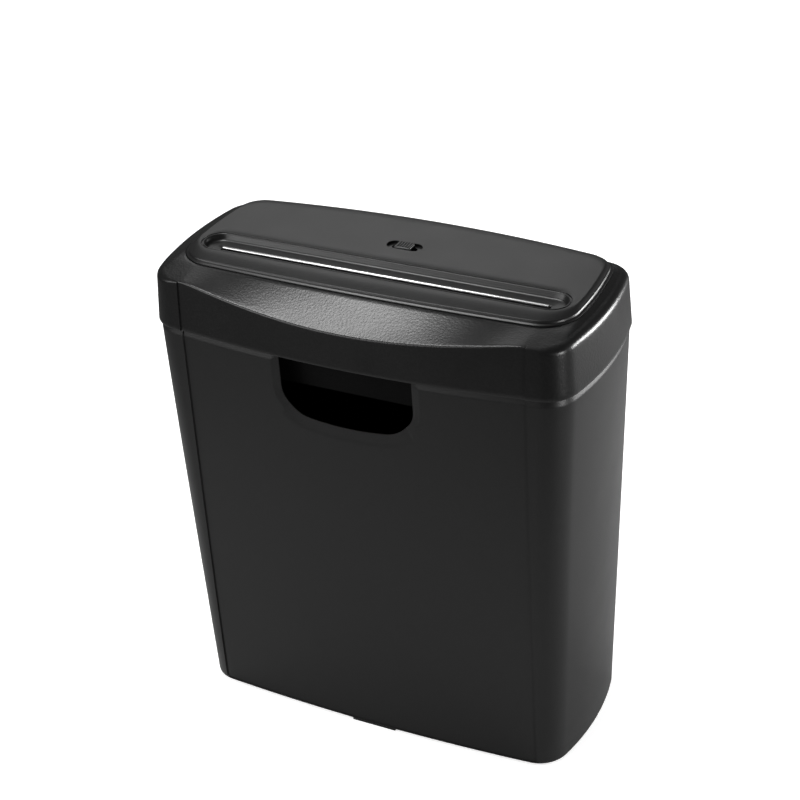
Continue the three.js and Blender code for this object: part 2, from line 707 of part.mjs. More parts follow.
function roundedTrack(length, width) {
  const shape = new THREE.Shape();
  const [half, r] = [length / 2 - width / 2, width / 2];
  shape.absarc(half, knob.y, r, -Math.PI / 2, Math.PI / 2);
  shape.absarc(-half, knob.y, r, Math.PI / 2, 1.5 * Math.PI);
  shape.closePath();
  return shape;
}

/** The recess narrows from its rim to the throat like a funnel. */
function recessTool() {
  const points = (half, front, back, z) => {
    const r = (back - front) / 2;
    const middle = (back + front) / 2;
    const right = arcPoints(new THREE.Vector2(half - r, middle), r, -Math.PI / 2, Math.PI / 2, 8);
    const left = arcPoints(new THREE.Vector2(r - half, middle), r, Math.PI / 2, 1.5 * Math.PI, 8);
    return [...right, ...left].map((v) => new THREE.Vector3(v.x, v.y, z));
  };
  const [front, back] = [recessY - feed.recessWidth / 2, recessY + feed.recessWidth / 2];
  const barBack = throatBack + guide.thick + gap;
  const floor = panelTop - feed.recessDepth;
  return loft([
    points(feed.throatHalf + 3, throatFront + 0.6, barBack, floor),
    points(recessHalf - 4, front + 2.2, back - 3.6, panelTop - 0.45 * feed.recessDepth),
    points(recessHalf, front, back, panelTop),
    points(recessHalf, front, back, panelTop + 1),
  ]);
}

// Paper sensor: a sprung lever that hangs into the throat, and its switch.
function addSensor() {
  const { wide, boss, arm, pin, pinEnd } = lever;
  const pivotY = feed.y - lever.fromFeed;
  const pivotZ = panelTop - lever.pivotDrop;
  const [tipY, tipZ] = [pivotY + lever.tipReach, pivotZ - lever.tipDrop];
  const shape = new THREE.Shape();
  shape.moveTo(pivotY, pivotZ + boss);
  shape.lineTo(tipY - 2, tipZ + arm);
  shape.quadraticCurveTo(tipY, tipZ + arm, tipY, tipZ);
  shape.quadraticCurveTo(tipY, tipZ - arm, tipY - 3, tipZ - arm);
  shape.lineTo(pivotY, pivotZ - boss);
  shape.absarc(pivotY, pivotZ, boss, -Math.PI / 2, -1.5 * Math.PI, true);
  shape.closePath();
  const pivot = new THREE.Vector2(pivotY, pivotZ);
  const arm3d = alongX(shape, -wide / 2, wide / 2, 4);
  const pinTip = wide / 2 + 2 * pinEnd;
  add('sensor_lever', join(arm3d, barX(pivot, pin, -wide / 2 - pinEnd, pinTip, 10)), 'pale');
  const { long, front, back, below, above } = sensorBody;
  const bodyX = wide / 2 + 1;
  const body = block(bodyX, bodyX + long, pivotY - front, pivotY + back, pivotZ - below, pivotZ + above);
  add('sensor_switch', cut(body, barX(pivot, pin + gap, bodyX - 1, pinTip + 1, 10)), 'inner');
}

// Mode switch: a knob that slides between three stops, on a switch body under the panel.
function addModeSwitch() {
  const trackFloor = panelTop - knob.trackDepth;
  const foot = trackFloor + gap;
  const top = panelTop + knob.rise - knob.trackDepth;
  const [half, deep] = [knob.width / 2, knob.depth / 2];
  const draft = 0.2;
  const grip = loft([[0, foot], [draft, top - knob.edge], [draft + knob.edge, top]].map(([inset, z]) => {
    const shape = roundedBox(half - inset, knob.y - deep + inset, knob.y + deep - inset, knob.corner);
    return shape.extractPoints(3).shape.slice(0, -1).map((v) => new THREE.Vector3(v.x, v.y, z));
  }));
  const { stemX, stemY, stemIn, slotRoom } = knob;
  const bodyTop = panelTop - panel.wall - gap;
  const stem = block(-stemX, stemX, knob.y - stemY, knob.y + stemY, bodyTop - stemIn, foot + 1);
  add('mode_knob', join(grip, stem), 'inner');
  const { halfX, halfY, height } = modeBody;
  const [slotX, slotY] = [stemX + knob.halfTravel + slotRoom, stemY + slotRoom];
  const body = block(-halfX, halfX, knob.y - halfY, knob.y + halfY, bodyTop - height, bodyTop);
  const slot = block(-slotX, slotX, knob.y - slotY, knob.y + slotY, bodyTop - stemIn - 1, bodyTop + 1);
  add('mode_switch', cut(body, slot), 'inner');
}

// Tray: flange that closes the head's underside and a tub that hangs into the bin round the mechanism.
function addTray() {
  const flangeLow = headLow + gap;
  const flangePlan = offsetPlan(headPlan, -head.wall - tray.flangeRoom);
  const flange = loft([ring(flangePlan, flangeLow), ring(flangePlan, flangeTop)]);
  const { corner, wall, outletRoom } = tray;
  const tub = alongZ(roundedBox(trayHalf, trayFront, trayBack, corner), trayBottom, flangeTop - 0.5, 4);
  const inner = roundedBox(trayHalf - wall, trayFront + wall, trayBack - wall, corner - wall);
  const hollow = alongZ(inner, trayFloor, flangeTop + 1, 4);
  const reach = cutter.discRadius + outletRoom;
  const outlet = block(-cutterHalf, cutterHalf, frontAxis.x - reach, rearAxis.x + reach,
    trayBottom - 1, trayFloor + 1);
  const holes = screwSpots.map(([x, y]) => pillar(x, y, screw.radius + gap, flangeLow - 1, flangeTop + 1));
  const plungerHole = pillar(plungerX, 0, plunger.radius + gap, flangeLow - 1, flangeTop + 1, 12);
  const shell = cut(join(flange, tub), hollow, outlet, ...holes, plungerHole);
  const posts = boardSpots.map(([x, y]) => cut(
    pillar(x, y, board.postRadius, trayFloor - 1, trayFloor + board.post),
    pillar(x, y, screw.radius + gap, trayFloor + 1, trayFloor + board.post + 1),
  ));
  add('chassis_tray', join(shell, ...posts, ...plateRibs()), 'inner');
}

function pillar(x, y, radius, z0, z1, segments = 8) {
  return turnedUp([[0, z0], [radius, z0], [radius, z1], [0, z1]], x, y, segments);
}

/** Low ribs on the tray's floor that hold the feet of the side plates. */
function plateRibs() {
  const { long, thick, high, inset } = plateRib;
  const ribs = [];
  for (const side of [-1, 1]) {
    for (const y of [plateFront + inset, plateBack - long - 2 * inset]) {
      for (const x of [plateIn - gap - thick, plateOut + gap]) {
        const [x0, x1] = side > 0 ? [x, x + thick] : [-x - thick, -x];
        ribs.push(block(x0, x1, y, y + long, trayFloor - 0.5, trayFloor + high));
      }
    }
  }
  return ribs;
}

// Interlock: a sprung plunger that the bin's tab holds up while the head is seated.
function addInterlock() {
  const low = tabTop + gap;
  const high = low + plunger.length;
  const { radius, edge, travel, bodyOut, bodyIn, bodyHalf } = plunger;
  const rod = [[0, low], [radius - edge, low], [radius, low + edge], [radius, high], [0, high]];
  add('interlock_plunger', turnedUp(rod, plungerX, 0, 12), 'pale');
  const bodyLow = flangeTop + gap;
  const bodyTop = high + travel + plunger.bodyTop;
  const body = block(plungerX - bodyOut, plungerX + bodyIn, -bodyHalf, bodyHalf, bodyLow, bodyTop);
  const bore = pillar(plungerX, 0, radius + gap, bodyLow - 1, high + travel + gap, 12);
  add('interlock_switch', cut(body, bore), 'inner');
}

// Cutter cylinders: discs on one shaft turn in the grooves of the other.
function cutterProfile(parity, leftEnd, rightEnd) {
  const { stripWidth, discRadius, shaftRadius, journal } = cutter;
  const profile = [[0, leftEnd], [journal, leftEnd], [journal, -cutterHalf], [shaftRadius, -cutterHalf]];
  for (let cell = parity; cell < cutterCells; cell += 2) {
    const start = -cutterHalf + cell * stripWidth + gap / 2;
    const stop = start + stripWidth - gap;
    profile.push([shaftRadius, start], [discRadius, start], [discRadius, stop], [shaftRadius, stop]);
  }
  profile.push([shaftRadius, cutterHalf], [journal, cutterHalf], [journal, rightEnd], [0, rightEnd]);
  return profile;
}

function addCutters() {
  const clipRoom = retainer.thick + 1.4;
  const [left, right] = [syncX - clipRoom, driveEnd + clipRoom];
  const through = plateOut + plate.endOver;
  add('front_cutter', turned(cutterProfile(0, left, right), frontAxis, 12), 'bright');
  add('rear_cutter', turned(cutterProfile(1, left, through), rearAxis, 12), 'bright');
  const bore = cutter.journal + gap;
  const { radius, flangeRadius } = bush;
  const flangeEnd = plateIn - gap;
  const flangeStart = flangeEnd - bush.flange;
  const bushProfile = [[bore, flangeStart], [flangeRadius, flangeStart], [flangeRadius, flangeEnd],
    [radius, flangeEnd], [radius, through], [bore, through], [bore, flangeStart]];
  for (const [name, at] of Object.entries({ front: frontAxis, rear: rearAxis })) {
    for (const [side, sign] of [['left', -1], ['right', 1]]) {
      add(`bush_${name}_${side}`, turned(bushProfile.map(([r, x]) => [r, sign * x]), at, 12), 'bronze');
    }
  }
  const leftClip = syncX - gap - retainer.thick;
  clip('shaft_clip_front_right', frontAxis, driveEnd + gap, cutter.journal);
  clip('shaft_clip_front_left', frontAxis, leftClip, cutter.journal);
  clip('shaft_clip_rear_left', rearAxis, leftClip, cutter.journal);
}

function clip(name, at, x, shaft) {
  const ringShape = new THREE.Shape().absarc(at.x, at.y, shaft + retainer.rim, 0, 2 * Math.PI);
  ringShape.holes.push(hole(at, shaft + gap));
  add(name, alongX(ringShape, x, x + retainer.thick, 6), 'steel');
}

// Gears: each pair meets on its centre line, a tooth of one in a gap of the other.
function gearShape(at, teeth, module, tooth, bore) {
  const pitch = 2 * Math.PI / teeth;
  const radius = module * teeth / 2;
  const [root, tip] = [radius - gears.rootDepth * module, radius + gears.tipHeight * module];
  const rootHalf = pitch * (gears.rootHalf - gears.thin / 4);
  const tipHalf = pitch * (gears.tipHalf - gears.thin / 4);
  const shape = new THREE.Shape();
  for (let i = 0; i < teeth; i += 1) {
    const middle = tooth + i * pitch;
    [[root, -rootHalf], [tip, -tipHalf], [tip, tipHalf], [root, rootHalf]].forEach(([r, turn], k) => {
      const [y, z] = [at.x + r * Math.cos(middle + turn), at.y + r * Math.sin(middle + turn)];
      if (i + k === 0) shape.moveTo(y, z);
      else shape.lineTo(y, z);
    });
  }
  shape.closePath();
  if (bore) shape.holes.push(hole(at, bore));
  return shape;
}

function away(at, degrees, distance) {
  const angle = THREE.MathUtils.degToRad(degrees);
  return at.clone().add(new THREE.Vector2(Math.cos(angle), Math.sin(angle)).multiplyScalar(distance));
}

function pairDistance({ module, teeth, pinionTeeth }) {
  return module * (teeth + pinionTeeth) / 2;
}

/** The angle that puts a gap of the pinion on the line back to its wheel. */
function meshed(degrees, pinionTeeth) {
  return THREE.MathUtils.degToRad(degrees + 180) + Math.PI / pinionTeeth;
}

function addGears() {
  const { sync, drive, second, first, axle } = gears;
  const shaftBore = cutter.journal + gap;
  const axleBore = axle + gap;
  const syncEnd = syncX + sync.wide;
  const rad = THREE.MathUtils.degToRad;
  add('drive_gear', alongX(
    gearShape(frontAxis, drive.teeth, drive.module, rad(gears.angleSecond), shaftBore), driveX, driveEnd,
  ), 'steel');
  add('sync_gear_front', alongX(
    gearShape(frontAxis, sync.teeth, sync.module, 0, shaftBore), syncX, syncEnd,
  ), 'steel');
  add('sync_gear_rear', alongX(
    gearShape(rearAxis, sync.teeth, sync.module, meshed(0, sync.teeth), shaftBore), syncX, syncEnd,
  ), 'steel');
  const hub = (at, radius, x0, x1) => {
    const shape = new THREE.Shape().absarc(at.x, at.y, radius, 0, 2 * Math.PI);
    shape.holes.push(hole(at, axleBore));
    return alongX(shape, x0, x1, 8);
  };
  const overlap = 0.5;
  add('second_gear', join(
    alongX(gearShape(secondAxis, drive.pinionTeeth, drive.module,
      meshed(gears.angleSecond, drive.pinionTeeth), axleBore), driveX, driveEnd, 8),
    alongX(gearShape(secondAxis, second.teeth, second.module, rad(gears.angleFirst), axleBore),
      secondX, secondEnd, 8),
    hub(secondAxis, axleBore + gears.hubWall, driveEnd - overlap, secondX + overlap),
  ), 'pale');
  add('first_gear', join(
    alongX(gearShape(firstAxis, second.pinionTeeth, second.module,
      meshed(gears.angleFirst, second.pinionTeeth), axleBore), secondX, secondEnd, 8),
    alongX(gearShape(firstAxis, first.teeth, first.module, rad(angleMotor), axleBore),
      firstX, firstEnd, 8),
    hub(firstAxis, axleBore + gears.hubWallSmall, secondEnd - overlap, firstX + overlap),
  ), 'pale');
  add('motor_pinion', alongX(gearShape(motorAxis, first.pinionTeeth, first.module,
    meshed(angleMotor, first.pinionTeeth), motor.shaft + gap), firstX, firstEnd, 8), 'bronze');

  const axleProfile = (end, shoulderEnd) => [
    [0, plateIn + gap], [axle, plateIn + gap], [axle, plateOut + gap],
    [axle + gears.axleShoulder, plateOut + gap], [axle + gears.axleShoulder, shoulderEnd],
    [axle, shoulderEnd], [axle, end], [0, end],
  ];
  const { axleEnd } = gears;
  add('second_axle', turned(axleProfile(secondEnd + axleEnd, driveX - gap), secondAxis, 16), 'bright');
  add('first_axle', turned(axleProfile(firstEnd + axleEnd, secondX - gap), firstAxis, 16), 'bright');
  clip('second_clip', secondAxis, secondEnd + gap, axle);
  clip('first_clip', firstAxis, firstEnd + gap, axle);
}

// Motor: can, end cap, shaft and the two screws that hold it to the right side plate.
const motorScrewSpots = [90, -90].map((side) => (
  away(motorAxis, angleMotor + side, motor.screwCircle)
));

function addMotor() {
  const { radius, length, edge, shaft, boss, screwDepth } = motor;
  const face = plateIn - gap;
  const back = face - length;
  const blind = face - motor.shaftHidden;
  const bore = shaft + gap;
  const bossEnd = plateOut + plate.endOver;
  const can = turned([[0, back], [radius - edge, back], [radius, back + edge], [radius, face - edge],
    [radius - edge, face], [boss, face], [boss, bossEnd], [bore, bossEnd], [bore, blind], [0, blind]],
  motorAxis, 24);
  const screwHoles = motorScrewSpots.map((at) => (
    barX(at, screw.radius + gap, face - screwDepth - 1, face + 1, 8)
  ));
  add('motor_can', cut(can, ...screwHoles), 'steel');

  const { hub, hubRise, roundRise, terminalFrom, terminalTo, terminalHalf } = motorCap;
  const capFace = back - gap;
  const capEnd = capFace - motorCap.length;
  const capRadius = radius - motorCap.inset;
  const terminals = [[-terminalTo, -terminalFrom], [terminalFrom, terminalTo]].map(([y0, y1]) => block(
    capEnd, capFace - 2, motorAxis.x + y0, motorAxis.x + y1, motorAxis.y - terminalHalf,
    motorAxis.y + terminalHalf,
  ));
  add('motor_cap', join(turned([[0, capEnd], [hub, capEnd], [hub, capEnd + hubRise],
    [capRadius - 2, capEnd + hubRise + 0.5], [capRadius, capEnd + roundRise], [capRadius, capFace],
    [0, capFace]], motorAxis, 24), ...terminals), 'inner');
  add('motor_shaft', barX(motorAxis, shaft, blind + gap, firstEnd + 1, 16), 'bright');
  const headFoot = plateOut + gap;
  const headEnd = headFoot + screw.headHeight;
  motorScrewSpots.forEach((at, i) => {
    add(`motor_screw_${i + 1}`, turned([[0, face - screwDepth], [screw.radius, face - screwDepth],
      [screw.radius, headFoot], [screw.head, headFoot], [screw.head, headEnd], [0, headEnd]], at, 10),
    'steel');
  });
}

// Frame: two steel side plates, three tie rods and the combs that keep strips off the shafts.
function plateShape(extraHoles) {
  const { bevel } = plate;
  const shape = new THREE.Shape([[plateFront, plateBottom], [plateBack, plateBottom],
    [plateBack, plateTop - bevel], [plateBack - bevel, plateTop], [plateFront, plateTop],
  ].map(([y, z]) => new THREE.Vector2(y, z)));
  shape.holes.push(hole(frontAxis, bush.radius + gap), hole(rearAxis, bush.radius + gap), ...extraHoles,
    ...tieSpots.map((at) => hole(at, tie.end + gap)));
  return shape;
}

function addFrame() {
  const rightHoles = [
    hole(motorAxis, motor.boss + gap), hole(firstAxis, gears.axle + gap), hole(secondAxis, gears.axle + gap),
    ...motorScrewSpots.map((at) => hole(at, screw.radius + gap)),
  ];
  add('side_plate_left', alongX(plateShape([]), -plateOut, -plateIn, 7), 'steel');
  add('side_plate_right', alongX(plateShape(rightHoles), plateIn, plateOut, 7), 'steel');
  tieSpots.forEach((at, i) => {
    const end = plateOut + plate.endOver;
    const shoulder = plateIn - gap;
    add(`tie_rod_${i + 1}`, turned([[0, -end], [tie.end, -end], [tie.end, -shoulder], [tie.radius, -shoulder],
      [tie.radius, shoulder], [tie.end, shoulder], [tie.end, end], [0, end]], at, 10), 'steel');
  });
  addComb('stripper_comb_front', frontAxis, -1, 1);
  addComb('stripper_comb_rear', rearAxis, 1, 0);
}

/** A bar beside one cutter with a finger in each of its grooves. */
function addComb(name, at, side, parity) {
  const { stripWidth, shaftRadius, discRadius } = cutter;
  const { clear, half, fingerHalf, side: gapSide, tipClear } = comb;
  const near = at.x + side * (discRadius + clear);
  const far = at.x + side * combReach;
  const tip = at.x + side * (shaftRadius + tipClear);
  const end = plateIn - gap;
  const bar = block(-end, end, Math.min(near, far), Math.max(near, far), axisZ - half, axisZ + half);
  const fingers = [];
  for (let cell = parity; cell < cutterCells; cell += 2) {
    const x = -cutterHalf + cell * stripWidth;
    fingers.push(block(x + gapSide, x + stripWidth - gapSide, Math.min(tip, far), Math.max(tip, far),
      axisZ - fingerHalf, axisZ + fingerHalf));
  }
  add(name, join(bar, ...fingers), 'inner');
}

// Electronics: a board on two posts of the tray, its suppressor and two screws.
function addBoard() {
  const { width, depth, thick } = board;
  const low = trayFloor + board.post + gap;
  const high = low + thick;
  const bores = boardSpots.map(([x, y]) => pillar(x, y, screw.radius + gap, low - 1, high + 1));
  add('circuit_board', cut(block(boardX, boardX + width, boardY, boardY + depth, low, high), ...bores),
    'board');
  const top = high + gap;
  const [x0, y0] = [boardX + suppressor.x, boardY + suppressor.y];
  add('capacitor', block(x0, x0 + suppressor.width, y0, y0 + suppressor.depth, top, top + suppressor.height),
    'amber');
  const headTop = top + screw.headHeight;
  const shankEnd = low - board.post / 2;
  boardSpots.forEach(([x, y], i) => {
    add(`board_screw_${i + 1}`, turnedUp([[0, shankEnd], [screw.radius, shankEnd], [screw.radius, top],
      [screw.head, top], [screw.head, headTop], [0, headTop]], x, y, 8), 'steel');
  });
}

addBin();
addHousing();
addScrews();
addPanel();
addSensor();
addModeSwitch();
addTray();
addInterlock();
addCutters();
addGears();
addMotor();
addFrame();
addBoard();

export default shredder;
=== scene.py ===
import math

import bmesh
import bpy
import numpy as np
from mathutils import Matrix, Vector


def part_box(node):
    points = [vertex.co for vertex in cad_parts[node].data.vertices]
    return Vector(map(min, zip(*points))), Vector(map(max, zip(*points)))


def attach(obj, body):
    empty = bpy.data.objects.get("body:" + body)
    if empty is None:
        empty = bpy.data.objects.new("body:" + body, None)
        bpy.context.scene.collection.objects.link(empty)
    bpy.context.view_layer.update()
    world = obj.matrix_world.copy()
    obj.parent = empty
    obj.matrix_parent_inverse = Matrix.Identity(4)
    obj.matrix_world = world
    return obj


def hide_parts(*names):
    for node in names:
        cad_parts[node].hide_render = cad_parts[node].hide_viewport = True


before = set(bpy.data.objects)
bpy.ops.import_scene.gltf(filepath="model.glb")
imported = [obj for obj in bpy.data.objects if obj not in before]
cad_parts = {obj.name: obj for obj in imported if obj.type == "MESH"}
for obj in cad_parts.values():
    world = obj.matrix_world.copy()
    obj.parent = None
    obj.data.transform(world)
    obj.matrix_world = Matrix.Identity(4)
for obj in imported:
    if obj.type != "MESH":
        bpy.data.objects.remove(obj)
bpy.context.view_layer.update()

# Strip-cut shredder. Sizes are in millimetres and are turned into metres when a mesh is made.
# X runs along the feed slot, the front faces -Y, and the bin's pads stand on Z = 0.
mm = 0.001


def boxOf(node):
    low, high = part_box(node)
    return np.array(low) / mm, np.array(high) / mm


def smooth(low, high, value):  # an eased step from 0 at low to 1 at high
    t = np.clip((np.asarray(value, float) - low) / (high - low), 0, 1)
    return t * t * (3 - 2 * t)


def crownRadius(half, crown):  # radius of an arc that bulges by crown over a half chord
    return (half**2 + crown**2) / (2 * crown)


def arcLine(centre, radius, start, stop, count):
    turn = np.linspace(start, stop, count)
    return np.stack([centre[0] + radius * np.cos(turn), centre[1] + radius * np.sin(turn)], 1)


def ovalQuarter(plan, depth):  # three tangent arcs, from the middle of a long face to the middle of an end
    corner, faceRadius, endRadius = plan["corner"], plan["faceRadius"], plan["endRadius"]
    face = np.array([0, depth - faceRadius])
    end = np.array([plan["half"] - endRadius, 0])
    faceReach, endReach = faceRadius - corner, endRadius - corner
    span = np.linalg.norm(end - face)
    unit = (end - face) / span
    along = (faceReach**2 - endReach**2 + span**2) / (2 * span)
    aside = math.sqrt(faceReach**2 - along**2)
    sides = [face + unit * along + np.array([-unit[1], unit[0]]) * s for s in (aside, -aside)]
    centre = max(sides, key=sum)
    faceTurn = math.atan2(centre[1] - face[1], centre[0] - face[0])
    endTurn = math.atan2(centre[1] - end[1], centre[0] - end[0])
    return np.vstack([
        arcLine(face, faceRadius, math.pi / 2, faceTurn, 300)[:-1],
        arcLine(centre, corner, faceTurn, endTurn, 120)[:-1],
        arcLine(end, endRadius, endTurn, 0, 120),
    ])


def slotQuarter(half, wide, corner):  # a long slot with rounded corners
    corner = min(corner, wide / 2)
    turn = arcLine((half - corner, wide / 2 - corner), corner, math.pi / 2, 0, 60)
    return np.vstack([[0, wide / 2], turn, [half, 0]])


# Every ring has its points at the same stations along a long face, closer together by the hand hole
# and by the upright crease; "round" is how many more take it round to the middle of the end.
holeSide = 48.5
stations = {"crease": 125.5, "creaseHalf": 0.13, "last": 127.0, "round": 30, "turnWeight": 25, "faceFrom": 20}
nick = stations["creaseHalf"]
stations["x"] = np.concatenate([
    np.linspace(0, holeSide, 19),
    holeSide + np.array([0.6, 1.4, 2.6, 3.9, 4.9, 5.5, 6.4, 8, 11]),
    np.linspace(63, 121, 15),
    stations["crease"] + np.array([-2.4, -1.2, -0.5, -0.2, -nick, 0, nick, 0.2, 0.5, 1.1]),
    [stations["last"]],
])


def atStations(line, scale=1.0):  # the same stations on every quarter, so that rings can be skinned
    x = stations["x"] * scale
    face = np.stack([x, np.interp(x, line[:, 0], line[:, 1])], 1)
    rest = np.vstack([face[-1], line[line[:, 0] > x[-1] + 1e-6]])
    step = np.diff(rest, axis=0)
    turn = np.abs(np.diff(np.unwrap(np.arctan2(step[:, 1], step[:, 0])), prepend=0))
    turn[0] = 0
    weight = np.concatenate([[0], np.cumsum(0.5 * np.hypot(*step.T) + stations["turnWeight"] * turn)])
    where = np.linspace(0, weight[-1], stations["round"] + 1)[1:]
    tail = np.stack([np.interp(where, weight, rest[:, 0]), np.interp(where, weight, rest[:, 1])], 1)
    return np.vstack([face, tail])


def wholeRing(front, back, y=0.0):  # four quarters joined, starting at the middle of the right end
    parts = [back[::-1], back * [-1, 1], front[::-1] * [-1, -1], front * [1, -1]]
    return np.vstack([part[:-1] for part in parts]) + [0, y]


def ovalRing(plan, inset=0.0, frontInset=None):  # an inset outline, set in by its own amount at the front
    frontInset = inset if frontInset is None else frontInset
    front = {
        "half": plan["half"] - inset, "corner": max(plan["corner"] - inset, 1),
        "faceRadius": plan["faceRadius"] - inset, "endRadius": plan["endRadius"] - inset,
    }
    back = {
        **front, "faceRadius": plan.get("backRadius", plan["faceRadius"]) - inset,
        "corner": max(plan.get("backCorner", plan["corner"]) - inset, 1),
    }
    return wholeRing(atStations(ovalQuarter(front, plan["front"] - frontInset)),
                     atStations(ovalQuarter(back, plan["back"] - inset)))


def inwardOf(plan, reach=10):  # an outline, and the way inwards at each of its points
    outline = ovalRing(plan)
    return outline, (ovalRing(plan, reach) - outline) / reach


def slotRing(half, wide, y, corner=1e3):  # round-ended unless a corner radius is given
    line = slotQuarter(half, wide, corner)
    reach = half - min(corner, wide / 2) * 0.3
    quarter = atStations(line, reach / stations["last"])
    return wholeRing(quarter, quarter, y)


def lifted(ring, z):
    return np.column_stack([ring, np.broadcast_to(z, len(ring))])


def sharpen(made, angle):
    made.data.set_sharp_from_angle(angle=math.radians(angle))


def objectOf(name, data):
    made = bpy.data.objects.new(name, data)
    bpy.context.scene.collection.objects.link(made)
    return made


def newObject(name, mesh, material, sharp=35):
    made = objectOf(name, mesh)
    mesh.materials.clear()
    mesh.materials.append(material)
    mesh.shade_smooth()
    sharpen(made, sharp)
    return made


def meshOf(name, points, faces):  # millimetres in, a closed mesh in metres out
    mesh = bpy.data.meshes.new(name)
    mesh.from_pydata((np.asarray(points, float) * mm).tolist(), [], faces)
    work = bmesh.new()
    work.from_mesh(mesh)
    bmesh.ops.remove_doubles(work, verts=work.verts, dist=1e-7)
    bmesh.ops.recalc_face_normals(work, faces=work.faces)
    work.to_mesh(mesh)
    work.free()
    return mesh


def band(low, high, count):  # faces between two rows of points that start at these numbers
    return [(low + i, low + (i + 1) % count, high + (i + 1) % count, high + i) for i in range(count)]


def fan(start, count, tip):  # faces from a row of points to one point
    return [(start + i, start + (i + 1) % count, tip) for i in range(count)]


def skin(name, rings, loop=False):  # rings of equal count; both ends are closed unless they form a loop
    rings = [np.asarray(r, float) for r in rings]
    if not loop:
        rings = closing(rings[0])[::-1] + rings + closing(rings[-1])
    count = len(rings[0])
    points = np.vstack(rings)
    faces = []
    for k in range(len(rings) if loop else len(rings) - 1):
        faces += band(k * count, (k + 1) % len(rings) * count, count)
    if not loop:
        for start in (0, (len(rings) - 1) * count):
            points = np.vstack([points, points[start:start + count].mean(0)])
            faces += fan(start, count, len(points) - 1)
    return meshOf(name, points, faces)


def closing(ring):  # rings that shrink towards the middle of an end face
    middle = ring.mean(0)
    return [middle + (ring - middle) * share for share in (0.8, 0.5, 0.2)]


def turnedMesh(name, profile, axis, spot, sides=48):  # a (radius, height) profile turned about a line
    turn = np.linspace(0, 2 * math.pi, sides, endpoint=False)
    rings = []
    for radius, height in profile:
        a, b = max(radius, 1e-4) * np.cos(turn), max(radius, 1e-4) * np.sin(turn)
        h = np.full(sides, float(height))
        ring = {"X": (h, a, b), "Y": (a, h, b), "Z": (a, b, h)}[axis]
        rings.append(np.stack(ring, 1) + np.asarray(spot, float))
    return skin(name, rings)


def boxMesh(name, low, high):
    points = [[(low, high)[(i >> k) & 1][k] for k in range(3)] for i in range(8)]
    faces = [(0, 1, 3, 2), (4, 5, 7, 6), (0, 1, 5, 4), (2, 3, 7, 6), (0, 2, 6, 4), (1, 3, 7, 5)]
    return meshOf(name, points, faces)


def settle(made):  # bakes the modifiers into a plain mesh
    graph = bpy.context.evaluated_depsgraph_get()
    mesh = bpy.data.meshes.new_from_object(made.evaluated_get(graph))
    made.modifiers.clear()
    made.data = mesh
    return made


def roundOff(made, width, segments):
    change = made.modifiers.new("round", "BEVEL")
    change.width, change.segments = width * mm, segments
    return settle(made)


def combine(made, mesh, operation):  # cuts or joins a mesh, which is used up
    tool = objectOf("tool", mesh)
    change = made.modifiers.new("cut", "BOOLEAN")
    change.operation, change.solver, change.object = operation, "EXACT", tool
    settle(made)
    bpy.data.objects.remove(tool)
    return made


def join(made, part):
    combine(made, part.data.copy(), "UNION")
    bpy.data.objects.remove(part)


def place(made, body, node):
    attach(made, body)
    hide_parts(node)


def shaderGroup(name, inputs, outputs):
    tree = bpy.data.node_groups.new(name, "ShaderNodeTree")
    for label, value in inputs.items():
        tree.interface.new_socket(label, in_out="INPUT", socket_type="NodeSocketFloat").default_value = value
    for label, kind in outputs.items():
        tree.interface.new_socket(label, in_out="OUTPUT", socket_type="NodeSocket" + kind)
    return tree, tree.nodes.new("NodeGroupInput"), tree.nodes.new("NodeGroupOutput")


def link(tree, source, target):
    tree.links.new(source, target)


def setInputs(tree, node, inputs):  # an input is set to a value, or linked to another node's output
    for key, value in dict(inputs).items():
        if isinstance(value, bpy.types.NodeSocket):
            link(tree, value, node.inputs[key])
        else:
            node.inputs[key].default_value = value
    return node


def addNode(tree, kind, inputs=()):
    return setInputs(tree, tree.nodes.new("ShaderNode" + kind), inputs)


def mathNode(tree, operation, first, second):
    node = addNode(tree, "Math", {0: first, 1: second})
    node.operation = operation
    return node.outputs[0]


def rangeNode(tree, value, low, high):
    return addNode(tree, "MapRange", {"Value": value, "To Min": low, "To Max": high}).outputs["Result"]


grain = {
    "softness": 0.6, "fineRatio": 1.7, "fineShare": 0.8, "cloudsPerMetre": 35, "pitDeep": 0.00006,
    "stretch": 0.02, "stainsPerMetre": 60, "scratchDeep": 0.00003,
}


def tintNode(tree, factor, first, second):
    tint = tree.nodes.new("ShaderNodeMix")
    tint.data_type = "RGBA"
    return setInputs(tree, tint, {"Factor": factor, "A": first, "B": second}).outputs["Result"]


def closeGrain(tree, given, end, distance, height, cloud):  # the relief and the roughness that a grain gives
    bump = addNode(tree, "Bump", {"Distance": distance, "Strength": given["Depth"], "Height": height})
    rough = rangeNode(tree, cloud.outputs["Fac"], given["Rough Low"], given["Rough High"])
    setInputs(tree, end, {"Normal": bump.outputs["Normal"], "Roughness": rough})


